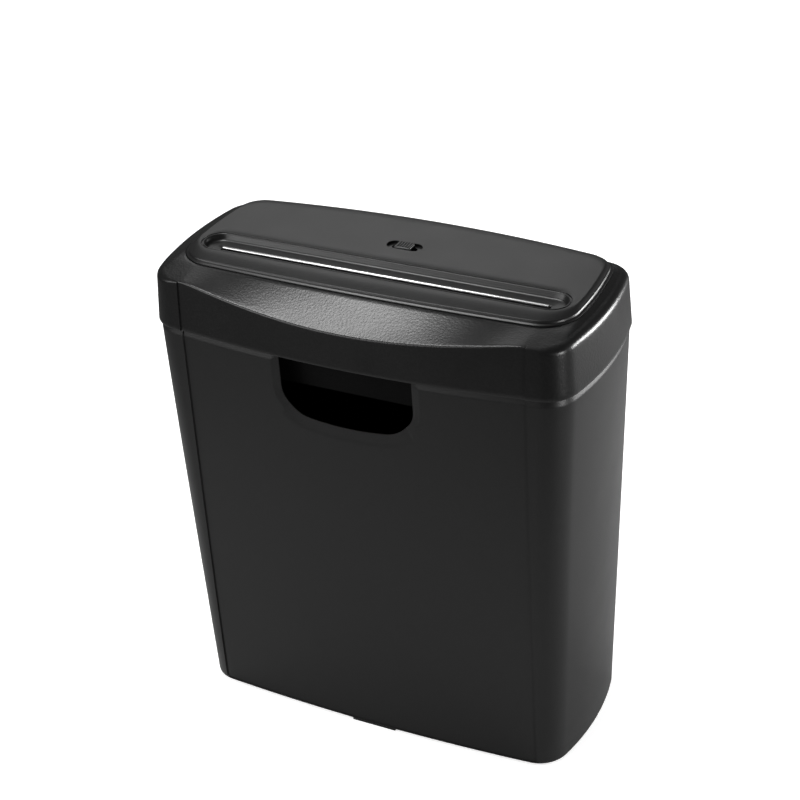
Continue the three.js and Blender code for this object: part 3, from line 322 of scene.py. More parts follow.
def makeSparkGrain():  # moulded spark-eroded grain: small rounded pits of mixed size
    tree, start, end = shaderGroup(
        "sparkGrain", {"Pits per Metre": 1100.0, "Depth": 1.0, "Rough Low": 0.3, "Rough High": 0.42},
        {"Normal": "Vector", "Roughness": "Float", "Pit": "Float"})
    given = start.outputs
    where = addNode(tree, "TexCoord").outputs["Object"]
    pits = tree.nodes.new("ShaderNodeTexVoronoi")
    pits.feature = "SMOOTH_F1"
    setInputs(tree, pits, {"Smoothness": grain["softness"], "Vector": where, "Scale": given["Pits per Metre"]})
    fineScale = mathNode(tree, "MULTIPLY", given["Pits per Metre"], grain["fineRatio"])
    fine = addNode(tree, "TexNoise", {"Detail": 3, "Vector": where, "Scale": fineScale})
    cloud = addNode(tree, "TexNoise", {"Detail": 4, "Vector": where, "Scale": grain["cloudsPerMetre"]})
    fineHeight = mathNode(tree, "MULTIPLY", fine.outputs["Fac"], grain["fineShare"])
    height = mathNode(tree, "ADD", pits.outputs["Distance"], fineHeight)
    closeGrain(tree, given, end, grain["pitDeep"], height, cloud)
    # the pit distance also sets the colour, darker at each pit's bottom: painted shade in the hollows
    link(tree, pits.outputs["Distance"], end.inputs["Pit"])
    return tree


def makeBrushedGrain():  # long drawn scratches along X
    tree, start, end = shaderGroup(
        "brushedGrain", {"Lines per Metre": 2600.0, "Depth": 0.5, "Rough Low": 0.2, "Rough High": 0.4},
        {"Normal": "Vector", "Roughness": "Float", "Line": "Float"})
    given = start.outputs
    where = addNode(tree, "TexCoord").outputs["Object"]
    stretch = addNode(tree, "Mapping", {"Vector": where, "Scale": (grain["stretch"], 1, 1)}).outputs["Vector"]
    lines = addNode(tree, "TexNoise", {"Detail": 4, "Vector": stretch, "Scale": given["Lines per Metre"]})
    stain = addNode(tree, "TexNoise", {"Vector": where, "Scale": grain["stainsPerMetre"]})
    closeGrain(tree, given, end, grain["scratchDeep"], lines.outputs["Fac"], stain)
    # the scratch height also sets the colour, darker in each groove: painted shade in the hollows
    link(tree, lines.outputs["Fac"], end.inputs["Line"])
    return tree


sparkGrain = makeSparkGrain()
brushedGrain = makeBrushedGrain()


def finish(name, group, values, dark, light, fixed=()):  # one Principled shader fed by a group
    material = bpy.data.materials.new(name)
    material.use_nodes = True
    tree = material.node_tree
    shader = tree.nodes["Principled BSDF"]
    effect = tree.nodes.new("ShaderNodeGroup")
    effect.node_tree = group
    given = setInputs(tree, effect, values).outputs
    # the base colour follows the grain's relief, darker in its pits and grooves: painted shade in the hollows
    tint = tintNode(tree, given["Pit" if group is sparkGrain else "Line"], (*dark, 1), (*light, 1))
    setInputs(tree, shader, fixed)
    setInputs(tree, shader, {"Base Color": tint, "Roughness": given["Roughness"], "Normal": given["Normal"]})
    return material


def grey(value, warm=0.0):
    return (value * (1 + warm), value, value * (1 - warm))


def grained(count, depth, rough, unit):  # the values that a grain group takes
    return {unit: count, "Depth": depth, "Rough Low": rough[0], "Rough High": rough[1]}


def plastic(name, shade, pits, depth, rough, specular=0.5):
    return finish(name, sparkGrain, grained(pits, depth, rough, "Pits per Metre"),
                  grey(shade * 0.8), grey(shade * 1.3), {"Specular IOR Level": specular})


def metal(name, shade, lines, depth, rough, warm=0.0):
    return finish(name, brushedGrain, grained(lines, depth, rough, "Lines per Metre"),
                  grey(shade * 0.82, warm), grey(shade, warm), {"Metallic": 1})


def tinted(name, dark, light, pits, depth, rough):
    return finish(name, sparkGrain, grained(pits, depth, rough, "Pits per Metre"), dark, light)


finishes = {  # shade, grain per metre, depth, lowest and highest roughness, then specular level or warmth
    "bin": plastic("binPlastic", 0.0070, 1500, 0.35, (0.36, 0.44), 0.22),
    "housing": plastic("housingPlastic", 0.0042, 620, 0.85, (0.26, 0.34), 0.28),
    "panel": plastic("panelPlastic", 0.0065, 1500, 0.35, (0.30, 0.37), 0.26),
    # the inner parts are darker and duller than the outer plastic so the inside seen through the hand hole
    # reads black: painted shade
    "inner": plastic("innerShadedPlastic", 0.0018, 1200, 0.4, (0.55, 0.7), 0.06),
    "knob": plastic("knobPlastic", 0.009, 1800, 0.3, (0.25, 0.35), 0.35),
    "rubber": plastic("glandRubber", 0.008, 1600, 0.5, (0.6, 0.75), 0.25),
    "guide": metal("guideSteel", 0.50, 2400, 0.3, (0.24, 0.34)),
    "cutter": metal("cutterSteel", 0.42, 1800, 0.4, (0.24, 0.42)),
    "gear": metal("gearSteel", 0.30, 900, 0.5, (0.35, 0.5)),
    "plate": metal("plateSteel", 0.55, 1500, 0.4, (0.28, 0.42)),
    "can": metal("motorSteel", 0.50, 1200, 0.4, (0.25, 0.4)),
    "shaft": metal("shaftSteel", 0.60, 2200, 0.3, (0.18, 0.3)),
    "fastener": metal("fastenerSteel", 0.55, 1400, 0.3, (0.25, 0.4)),
    "bronze": metal("bushBronze", 0.34, 1500, 0.4, (0.3, 0.45), 0.45),
    "brass": metal("pinionBrass", 0.55, 1500, 0.4, (0.22, 0.35), 0.4),
    "nylon": tinted("gearNylon", (0.62, 0.58, 0.48), (0.78, 0.75, 0.66), 700, 0.2, (0.35, 0.5)),
    "board": tinted("boardLaminate", (0.02, 0.09, 0.035), (0.04, 0.16, 0.07), 500, 0.3, (0.3, 0.4)),
    "amber": tinted("capacitorResin", (0.45, 0.20, 0.02), (0.62, 0.33, 0.05), 600, 0.2, (0.2, 0.3)),
}
print("finishes ready:", len(finishes))


camera = {
    "azimuth": 27.92, "elevation": 30.69, "roll": -3.38, "distance": 1364.15, "aim": (2.33, 0.0, 238.34),
    "lens": 89.28, "sensor": 36, "nearest": 0.05, "farthest": 20,
}


def addCamera():
    a, e, r = (math.radians(camera[k]) for k in ("azimuth", "elevation", "roll"))
    back = Vector((math.sin(a) * math.cos(e), -math.cos(a) * math.cos(e), math.sin(e)))
    across = Vector((math.cos(a), math.sin(a), 0))
    up = back.cross(across)
    right = across * math.cos(r) + up * math.sin(r)
    above = up * math.cos(r) - across * math.sin(r)
    lens = bpy.data.cameras.new("camera")
    lens.lens, lens.sensor_width = camera["lens"], camera["sensor"]
    lens.clip_start, lens.clip_end = camera["nearest"], camera["farthest"]
    made = objectOf("camera", lens)
    turn = Matrix((right, above, back)).transposed().to_4x4()
    spot = (Vector(camera["aim"]) + back * camera["distance"]) * mm
    made.matrix_world = Matrix.Translation(spot) @ turn
    bpy.context.scene.camera = made


room = {  # floor half width; its shade as seen, and as reflected near and far; distances in metres
    "floor": 6.0, "rough": 0.9, "seen": 0.88, "near": 0.54, "far": 0.09, "nearTo": 0.38, "farFrom": 0.75,
    "glow": 0.5, "world": 0.11,
}
softBoxes = {  # aim point, direction to the light, distance, width, height, power
    "facet": ((0, -62, 334), (-0.365, 0.115, 0.92), 1500, 400, 290, 15),
    "front": ((0, 0, 180), (-0.62, -0.62, 0.48), 2200, 1400, 1400, 40),
    "right": ((130, -40, 200), (0.95, -0.30, 0.06), 1700, 320, 700, 22),
    "rightBack": ((100, 0, 200), (0.74, 0.67, 0.02), 1700, 900, 760, 76),
    "low": ((0, -60, 280), (-0.43, -0.88, 0.06), 2500, 1500, 420, 11),
    "behind": ((0, 0, 345), (-0.40, 0.76, 0.51), 2200, 1000, 700, 4.2),
}


def floorMaterial():  # pale paper that glows a little; the object sees it darker than the camera does
    material = bpy.data.materials.new("floorPaper")
    material.use_nodes = True
    tree = material.node_tree
    shader = tree.nodes["Principled BSDF"]
    seen = addNode(tree, "LightPath").outputs["Is Camera Ray"]
    away = addNode(tree, "VectorMath", {0: addNode(tree, "TexCoord").outputs["Object"]})
    away.operation = "LENGTH"
    far = away.outputs["Value"]
    fall = addNode(tree, "MapRange", {"Value": far, "From Min": room["nearTo"], "From Max": room["farFrom"],
                                      "To Min": room["near"], "To Max": room["far"]})
    fall.interpolation_type = "SMOOTHSTEP"
    tint = tintNode(tree, seen, fall.outputs["Result"], (*grey(room["seen"]), 1))
    glow = addNode(tree, "MapRange", {"Value": far, "From Min": room["farFrom"], "From Max": room["floor"],
                                      "To Min": room["glow"], "To Max": 1.0})
    strength = mathNode(tree, "MULTIPLY", seen, glow.outputs["Result"])
    setInputs(tree, shader, {"Base Color": tint, "Roughness": room["rough"], "Emission Color": (1, 1, 1, 1),
                             "Emission Strength": strength})
    return material


def addRoom():
    floor, half = objectOf("floor", bpy.data.meshes.new("floor")), room["floor"]
    corners = [(-half, -half, 0), (half, -half, 0), (half, half, 0), (-half, half, 0)]
    floor.data.from_pydata(corners, [], [(0, 1, 2, 3)])
    floor.data.materials.append(floorMaterial())
    world = bpy.data.worlds.new("studio")
    world.use_nodes = True
    tree = world.node_tree
    bright = rangeNode(tree, addNode(tree, "LightPath").outputs["Is Camera Ray"], room["world"], 1.0)
    setInputs(tree, tree.nodes["Background"], {"Color": (1, 1, 1, 1), "Strength": bright})
    bpy.context.scene.world = world
    for name, (aim, direction, distance, wide, high, power) in softBoxes.items():
        light = bpy.data.lights.new(name, "AREA")
        light.shape, light.size, light.size_y = "RECTANGLE", wide * mm, high * mm
        light.energy = power
        made = objectOf(name, light)
        toLight = Vector(direction).normalized()
        made.location = (Vector(aim) + toLight * distance) * mm
        made.rotation_euler = toLight.to_track_quat("Z", "Y").to_euler()


addCamera()
addRoom()
bpy.context.scene.view_settings.view_transform = "Standard"
print("camera, floor and lights ready")


tub = {  # the waste bin; taper is how much smaller it is at the foot, crown how far its long faces bulge
    "wall": 2.2, "floor": 2.5, "foot": 1.2, "pad": 2.0, "crease": 1.0,
    "bottom": {"crown": 6.68, "endRadius": 200, "corner": 22.5},
    "top": {"crown": 14.53, "endRadius": 236, "corner": 22.4},
    "endTaper": 10.5, "faceTaper": 8.6, "bevel": 1.5, "bevelHigh": 5.0,
    "padRadius": 8, "padInset": 22.8, "padRound": 1.2, "padSides": 40,
    "tabHalf": 17, "tabDeep": 7, "tabBack": 1.12, "sharp": 32,
}
hole = {  # the hand hole; its lower edge sags towards the middle and a bevel runs round it
    "depth": 46.5, "corner": 20, "sag": 5.4, "lipSide": 5.5, "lipLow": 8.2, "fade": 110,
    "bendReach": 2.6, "sagAbove": 38, "sagBelow": 60,
}
interlock = {"gap": 0.3, "half": 7, "tall": 14, "tip": 3, "past": 2.0}
binLow, binHigh = boxOf("waste_bin")
rim = binHigh[2]
binHalf, binDepth = binHigh[0], (binHigh[1] - binLow[1]) / 2
lowHalf, lowDepth = binHalf - tub["endTaper"], binDepth - tub["faceTaper"]


def binPlan(z):  # the bin's outline at a height
    share = (z - tub["pad"]) / (rim - tub["pad"])
    low, high = tub["bottom"], tub["top"]
    ends = [
        (lowHalf, binHalf), (lowDepth, binDepth), (low["corner"], high["corner"]),
        (low["endRadius"], high["endRadius"]),
        (crownRadius(lowHalf, low["crown"]), crownRadius(binHalf, high["crown"])),
    ]
    half, depth, corner, endRadius, faceRadius = [a + (b - a) * share for a, b in ends]
    return {"half": half, "front": depth, "back": depth, "corner": corner,
            "endRadius": endRadius, "faceRadius": faceRadius}


def creased(ring, amount):  # the long faces between the two upright creases lie a little lower
    start, stop = (stations["crease"] + side * stations["creaseHalf"] for side in (-1, 1))
    onFace = np.abs(ring[:, 1]) > stations["faceFrom"]
    return amount * (1 - smooth(start, stop, np.abs(ring[:, 0]))) * onFace


def holeWarp(x, z, low):  # bends the square corner of the hole round and lets its lower edge sag
    r = hole["corner"]
    dx, dz = np.abs(x) - (holeSide - r), low + r - z
    near = (dx > 0) & (dz > 0)
    ring = np.maximum(dx, dz)
    length = np.where(near, np.hypot(dx, dz), 1)
    bend = np.where(near, 1 - smooth(r, hole["bendReach"] * r, ring), 0)
    newX = np.abs(x) + bend * (dx * ring / length - dx)
    newZ = z - bend * (dz * ring / length - dz)
    rise = np.clip(1 - np.where(z > low, (z - low) / hole["sagAbove"], (low - z) / hole["sagBelow"]), 0, 1)
    across = np.minimum(np.abs(newX) / holeSide, 1) ** 2 * (1 - smooth(holeSide, hole["fade"], np.abs(newX)))
    return np.sign(x) * newX, newZ + hole["sag"] * across * rise


def binRow(z, inset, low):  # one row of points of the outer or inner wall
    outline, inward = inwardOf(binPlan(z))
    x = outline[:, 0]
    front = (outline[:, 1] < 0) & (np.abs(x) <= hole["fade"])
    side, below = (np.abs(x) - holeSide) / hole["lipSide"], (low - z) / hole["lipLow"]
    holeBevel = np.where(front, np.clip(1 - np.maximum(side, below), 0, 1), 0)
    rimBevel = np.clip(1 - (rim - z) / tub["bevelHigh"], 0, 1)
    bevel = tub["bevel"] * np.minimum(1, (holeBevel**3 + rimBevel**3) ** (1 / 3))
    if inset > 0:  # the inner wall has no bevel
        bevel = 0
    depth = creased(outline, tub["crease"]) + inset + bevel
    points = lifted(outline + inward * depth[:, None], z)
    newX, newZ = holeWarp(x, np.full(len(x), float(z)), low)
    for i in np.nonzero(front)[0]:
        there = binPlan(newZ[i])
        y = there["front"] - there["faceRadius"] + math.sqrt(there["faceRadius"] ** 2 - newX[i] ** 2)
        points[i] = (newX[i], depth[i] - y, newZ[i])
    return points


def addBin():
    low = rim - hole["depth"]
    pad, foot, wall = tub["pad"], tub["foot"], tub["wall"]
    insideFloor = pad + tub["floor"]
    under = [(pad + foot * (1 - math.cos(t)), foot * (1 - math.sin(t)))
             for t in np.linspace(0, math.pi / 2, 6)[:-1]]
    heights = np.concatenate([
        np.linspace(pad + foot, low - hole["sagBelow"], 9),
        np.linspace(low - 50, low - hole["lipLow"] - 2, 8),
        low - hole["lipLow"] * np.array([1, 0.8, 0.55, 0.3, 0.12, 0]),
        np.linspace(low + 2, rim - tub["bevelHigh"] - 2, 15),
        rim - tub["bevelHigh"] * np.array([1.15, 1, 0.8, 0.55, 0.3, 0.1, 0]),
    ])
    outer = [lifted(ovalRing(binPlan(z), inset), z) for z, inset in under]
    outer += [binRow(z, 0, low) for z in heights]
    innerHeights = [z for z in heights if z > insideFloor + 3]
    inner = [lifted(ovalRing(binPlan(insideFloor), wall + 3), insideFloor),
             lifted(ovalRing(binPlan(insideFloor + 1), wall + 1), insideFloor + 0.9)]
    inner += [binRow(z, wall - (0.2 if z > rim - 0.5 else 0), low) for z in innerHeights]
    count = len(outer[0])
    ringX, ringY = outer[-1][:, 0], outer[-1][:, 1]
    middleX = np.abs(ringX + np.roll(ringX, -1)) / 2
    overHole = (middleX < holeSide) & (ringY < 0) & (np.roll(ringY, -1) < 0)
    points, faces, first = [], [], {}
    walls = (("outer", outer, [0] * len(under) + list(heights)), ("inner", inner, [0, 0] + innerHeights))
    for side, rows, levels in walls:  # the two walls, open where the hand hole is
        first[side] = len(points), levels
        for k, row in enumerate(rows):
            points.extend(row)
            if k == 0:
                continue
            base = first[side][0] + (k - 1) * count
            cutAway = overHole & (levels[k - 1] > low - 1e-6)
            faces += [face for face, gone in zip(band(base, base + count, count), cutAway) if not gone]
    ofLevel = {side: {round(z, 6): start + k * count for k, z in enumerate(levels)}
               for side, (start, levels) in first.items()}
    rimOuter, rimInner = ofLevel["outer"][round(rim, 6)], ofLevel["inner"][round(rim, 6)]
    lowOuter, lowInner = ofLevel["outer"][round(low, 6)], ofLevel["inner"][round(low, 6)]
    for i in range(count):  # the rim, and the hole's lower edge
        j = (i + 1) % count
        a, b = (lowOuter, lowInner) if overHole[i] else (rimOuter, rimInner)
        faces.append((a + i, a + j, b + j, b + i))
    holeLevels = [z for z in heights if z >= low - 1e-6]
    for i in range(count):  # the hole's two upright edges
        if overHole[i] != overHole[i - 1]:
            for lower, upper in zip(holeLevels[:-1], holeLevels[1:]):
                a, b = ofLevel["outer"][round(lower, 6)] + i, ofLevel["outer"][round(upper, 6)] + i
                c, d = ofLevel["inner"][round(upper, 6)] + i, ofLevel["inner"][round(lower, 6)] + i
                faces.append((a, b, c, d))
    points = [np.asarray(p) for p in points]
    for start in (0, first["inner"][0]):  # the underside and the floor inside
        base = np.array(points[start:start + count])
        previous = start
        for ring in closing(base):
            here = len(points)
            points.extend(ring)
            faces += band(previous, here, count)
            previous = here
        points.append(base.mean(0))
        faces += fan(previous, count, len(points) - 1)
    made = newObject("bin_shell", meshOf("bin_shell", points, faces), finishes["bin"])
    addFeet(made)
    addInterlockTab(made)
    sharpen(made, tub["sharp"])
    place(made, "bin", "waste_bin")


def addFeet(made):  # four round pads, and the tab under the front
    r, inFloor = tub["padRadius"], tub["pad"] + tub["padRound"]
    profile = [(r - tub["padRound"], 0), (r - 0.35, 0.3), (r, 1.0), (r, inFloor)]
    for sx in (-1, 1):
        for sy in (-1, 1):
            spot = (sx * (lowHalf - tub["padInset"]), sy * (lowDepth - tub["padInset"]), 0)
            combine(made, turnedMesh("pad", profile, "Z", spot, tub["padSides"]), "UNION")
    half, back = tub["tabHalf"], tub["tabBack"] - lowDepth
    combine(made, boxMesh("tab", (-half, back, 0), (half, back + tub["tabDeep"], inFloor)), "UNION")


def addInterlockTab(made):  # the rib inside the left end that presses the safety switch
    plungerLow, plungerHigh = boxOf("interlock_plunger")
    top = plungerLow[2] - interlock["gap"]
    outer = tub["wall"] / 2 - binPlan(top)["half"]
    inner = plungerHigh[0] + interlock["past"]
    side = [(outer, top), (outer, top - interlock["tall"]), (inner, top - interlock["tip"]), (inner, top)]
    points = [(x, y, z) for y in (-interlock["half"], interlock["half"]) for x, z in side]
    faces = [(0, 1, 2, 3), (4, 5, 6, 7)] + band(0, 4, 4)
    combine(made, meshOf("tab", points, faces), "UNION")


addBin()
print("bin built")


head = {  # the housing; "facet" is the crescent on its front, which slopes most in the middle
    "wall": 2.4, "draft": 2.0, "rise": 30.2, "crease": 1.0, "edge": 0.45, "lip": 0.45, "mouthGap": 0.35,
    "grow": 1.2, "shoulder": 4.6, "shoulderFacet": 1.1, "shoulderBack": 5.5, "fall": 1.3,
    "facetHalf": 122, "midSlope": 0.435, "endSlope": 0.06, "facetFrom": -44,
    "frontFrom": -20, "frontTo": -60, "shoulderFrom": 124.6, "shoulderTo": 146,
    "fallFrom": 110, "fallTo": 135,
    "pad": 9, "padWall": 5, "padGap": 0.3, "padRound": 1.4, "bore": 4.9, "boreIn": 12, "boreOut": 4,
    "sharp": 32,
}
boss = {"bore": 1.7, "radius": 3.4, "up": 3, "boreUp": 0.3, "screwLong": 11, "screwIn": 2.4,
        "ribHalf": 1, "ribIn": 2, "ribUp": 2, "wallIn": 2.9, "sides": 24}
gland = {"bore": 3.2, "neck": 4.6, "flange": 7.0, "flangeThick": 1.6, "length": 4.8, "tail": 9.0, "ribs": 3,
         "sides": 48, "sharp": 30}
housingLow, housingHigh = boxOf("head_housing")
headLow, ledgeTop = housingLow[2], housingHigh[2]
headPlan = {
    "half": housingHigh[0], "front": -housingLow[1], "back": -housingLow[1],
    "corner": tub["top"]["corner"] + head["grow"], "endRadius": tub["top"]["endRadius"] + head["grow"],
    "faceRadius": crownRadius(binHalf, tub["top"]["crown"]) + head["grow"],
}
panelHalf, panelFront, panelBack = 144.0, 44.0, 70.0
panelPlan = {
    "half": panelHalf, "front": panelFront, "back": panelBack, "corner": 26.0, "endRadius": 300.0,
    "faceRadius": crownRadius(panelHalf, 4.32), "backRadius": crownRadius(binHalf, tub["top"]["crown"]),
    "backCorner": 22.0,
}


def ledgeHeight(x, y):  # level, then sloping down in front of a line that follows the panel's front
    fade = np.maximum(0, 1 - (x / head["facetHalf"]) ** 2)
    slope = head["endSlope"] + (head["midSlope"] - head["endSlope"]) * fade
    start = head["facetFrom"] + x**2 / (2 * panelPlan["faceRadius"])
    return ledgeTop - slope * np.maximum(0, start - y)


def addHousing():
    base, inward = inwardOf(headPlan)
    x, y = base[:, 0], base[:, 1]
    wide = np.abs(x)
    step = creased(base, head["crease"])
    front = smooth(head["frontFrom"], head["frontTo"], y)
    toShoulder = smooth(head["shoulderFrom"], head["shoulderTo"], wide)
    shoulderFront = head["shoulderFacet"] + (head["shoulder"] - head["shoulderFacet"]) * toShoulder
    leg = front * shoulderFront + (1 - front) * head["shoulderBack"]
    fall = head["fall"] * (1 - front * (1 - smooth(head["fallFrom"], head["fallTo"], wide)))
    edge, wall = head["edge"], head["wall"]

    def at(inset, z):
        return np.column_stack([base + inward * (inset + step)[:, None], np.broadcast_to(z, len(base))])

    def slant(z):  # the wall leans in as it rises
        return head["draft"] * (z - headLow) / head["rise"]

    def onLedge(ring, down):
        ring[:, 2] = ledgeHeight(ring[:, 0], ring[:, 1]) - down
        return ring

    topAtWall = ledgeHeight(*(base + inward * (head["draft"] + step)[:, None]).T) - fall
    start = topAtWall - leg
    rings = [at(np.full(len(x), edge), headLow), at(slant(headLow) + edge * 0.3, headLow + edge * 0.3),
             at(slant(headLow + edge), headLow + edge)]
    for share in (0.08, 0.2, 0.35, 0.5, 0.65, 0.8, 0.92):
        z = headLow + edge + (start - headLow - edge) * share
        rings.append(at(slant(z), z))
    corner = at(slant(topAtWall), topAtWall)
    foot = at(slant(start), start)
    inside = onLedge(at(slant(topAtWall) + leg * 1.15, topAtWall), fall)
    for t in (0, 0.12, 0.25, 0.4, 0.55, 0.7, 0.85, 1):  # the rounded shoulder
        rings.append(foot * (1 - t) ** 2 + corner * 2 * t * (1 - t) + inside * t**2)
    mouth = lifted(ovalRing(panelPlan, -head["mouthGap"]), 0)
    unit = mouth[:, :2] - inside[:, :2]
    unit /= np.linalg.norm(unit, axis=1)[:, None]
    lip = mouth.copy()
    lip[:, :2] -= unit * head["lip"]
    for share in (0.1, 0.3, 0.5, 0.7, 0.9, 1):  # the ledge and the facet
        rings.append(onLedge(inside * (1 - share) + lip * share, fall * (1 - share)))
    for out, down in ((0.13, 0.13), (0, head["lip"]), (0, wall)):
        ring = mouth.copy()
        ring[:, :2] -= unit * out
        rings.append(onLedge(ring, down))
    innerTop = at(slant(topAtWall) + wall + leg * 0.6, 0)
    for share in (0.5, 1):
        rings.append(onLedge(rings[-1] * (1 - share) + innerTop * share, fall * share + wall))
    for share in (1, 0.5, 0):
        z = headLow + (start - 2 - headLow) * share
        rings.append(at(slant(z) + wall, z))
    made = newObject("head_housing_shell", skin("head_housing_shell", rings, loop=True), finishes["housing"])
    addGlandPad(made)
    for i in range(1, 5):
        addBoss(made, f"tray_screw_{i}")
    sharpen(made, head["sharp"])
    place(made, "head", "head_housing")


def addGlandPad(made):  # the flat pad in the rear wall that the cord gland sits in
    low, high = boxOf("cable_gland")
    x, z = ((low + high) / 2)[::2]
    half = head["pad"]
    face = high[1] - gland["length"] - head["padGap"]
    block = boxMesh("pad", (x - half, face - head["padWall"], z - half), (x + half, face, z + half))
    join(made, roundOff(newObject("pad", block, finishes["housing"]), head["padRound"], 4))
    bore = [(head["bore"], face - head["boreIn"]), (head["bore"], face + head["boreOut"])]
    combine(made, turnedMesh("bore", bore, "Y", (x, 0, z), 40), "DIFFERENCE")


def addBoss(made, node):  # a screw boss under the ledge, with a rib to the wall
    low, high = boxOf(node)
    x, y = ((low + high) / 2)[:2]
    top = high[2]
    bottom = top - boss["screwLong"] + boss["screwIn"]
    post = [(boss["radius"], bottom), (boss["radius"], top + boss["up"]), (0, top + boss["up"])]
    part = newObject("boss", turnedMesh("boss", post, "Z", (x, y, 0), boss["sides"]), finishes["housing"])
    side = math.copysign(1, y)
    wallY = side * (headPlan["front"] - boss["wallIn"] - x**2 / (2 * headPlan["faceRadius"]))
    near, far = sorted((y + side * boss["ribIn"], wallY))
    rib = boxMesh("rib", (x - boss["ribHalf"], near, bottom), (x + boss["ribHalf"], far, top + boss["ribUp"]))
    combine(part, rib, "UNION")
    bore = [(boss["bore"], bottom - 1), (boss["bore"], top + boss["boreUp"])]
    combine(part, turnedMesh("bore", bore, "Z", (x, y, 0), boss["sides"]), "DIFFERENCE")
    join(made, part)


addHousing()
print("housing built")


panel = {
    "base": 0.3, "gap": 0.3, "wall": 2.6, "lip": 3.0, "lipFront": 0.5, "frontRoll": 14.0, "sideRoll": 5.2,
    "ledge": 1.25, "power": 1.5, "edge": 1.0, "edgeUp": 1.7, "edgeFrom": 0.9, "edgeIn": 0.33, "sharp": 32,
    "recessHalf": 133.0, "recessWide": 23.0, "recessY": -12.8, "recessDeep": 5.2,
    "grooveOut": 1.7, "grooveIn": 0.7, "grooveDeep": 0.7,
}
feed = {  # the opening in the recess, the throat below it and the chute that guides the sheet to the cutters
    "y": -16.8, "front": -19.4, "barFront": -14.2, "barBack": -11.5, "openHalf": 120.7, "throatHalf": 109.5,
    "barGap": 0.3, "chuteWall": 2.6, "aboveCutters": 3, "abovePlates": 1.6,
}
track = {"y": 24.0, "deep": 1.8, "half": 13, "wide": 5.5, "slotHalf": 9.4, "slotWide": 2.3}  # mode knob's
lever = {"half": 2.1, "front": 3.6, "under": 8.1}  # the slit that the paper sensor's lever swings in
panelTop = boxOf("top_panel")[1][2]
plateTop = boxOf("side_plate_left")[1][2]
cutterTop = boxOf("front_cutter")[1][2]
flangeLow = ledgeTop - head["wall"] - panel["gap"] - panel["wall"]


def outsideRings():  # from the flange under the housing up over the rounded edge to the flat top
    wall, ledge = panel["wall"], panel["ledge"]
    base = ledgeTop + panel["base"]
    lip, more = panel["lip"], panel["lipFront"]
    flange = ovalRing({
        **panelPlan, "half": panelHalf + lip, "front": panelFront + more, "back": panelBack - more})
    rings = [lifted(flange, flangeLow), lifted(flange, flangeLow + wall),
             lifted(ovalRing(panelPlan), flangeLow + wall)]
    for inset, up in ((0, -1), (0, 0.05), (0.08, 0.16), (0.25, 0.26), (ledge, 0.70), (ledge + 0.15, 0.76),
                      (ledge + 0.3, panel["edgeFrom"])):
        rings.append(lifted(ovalRing(panelPlan, inset), base + up))
    step, rise = ledge + panel["edgeIn"], panelTop - base - panel["edgeFrom"]
    for turn in (10, 25, 42, 60, 78):
        t = math.radians(turn)
        inset = step + panel["edge"] * (1 - math.cos(t))
        z = base + panel["edgeFrom"] + panel["edgeUp"] * math.sin(t)
        rings.append(lifted(ovalRing(panelPlan, inset), z))
    start = step + panel["edge"]
    for share in (0, 0.1, 0.22, 0.36, 0.52, 0.68, 0.84, 1):  # a gentle roll
        climb = (rise - panel["edgeUp"]) * (1 - (1 - share) ** panel["power"])
        ring = ovalRing(panelPlan, start + (panel["sideRoll"] - start) * share,
                        start + (panel["frontRoll"] - start) * share)
        rings.append(lifted(ring, base + panel["edgeFrom"] + panel["edgeUp"] + climb))
    return rings


def recessRing(grow, down, shift=0.0):
    half, wide = panel["recessHalf"] + grow, panel["recessWide"] + 2 * grow
    return lifted(slotRing(half, wide, panel["recessY"] + shift), panelTop - down)


def recessRings(last):  # a thin groove, the lip of the recess, its hollow sides and its floor
    out, deep, into = panel["grooveOut"], panel["grooveDeep"], panel["grooveIn"]
    edge = recessRing(out + 0.25, 0)
    rings = [last * (1 - share) + edge * share for share in (0.12, 0.3, 0.5, 0.7, 0.88)] + [edge]
    for grow, down in ((out + 0.07, 0.07), (out, 0.25), (out - 0.15, deep), (into + 0.15, deep), (into, 0.35),
                       (into - 0.1, 0.12), (0.3, 0.1), (-0.1, 0.22), (-0.4, 0.5), (-1.1, 1.8), (-1.9, 3.3),
                       (-2.5, 3.9)):
        rings.append(recessRing(grow, down))
    return rings + [recessRing(-3.6, 4.25, -0.4)]


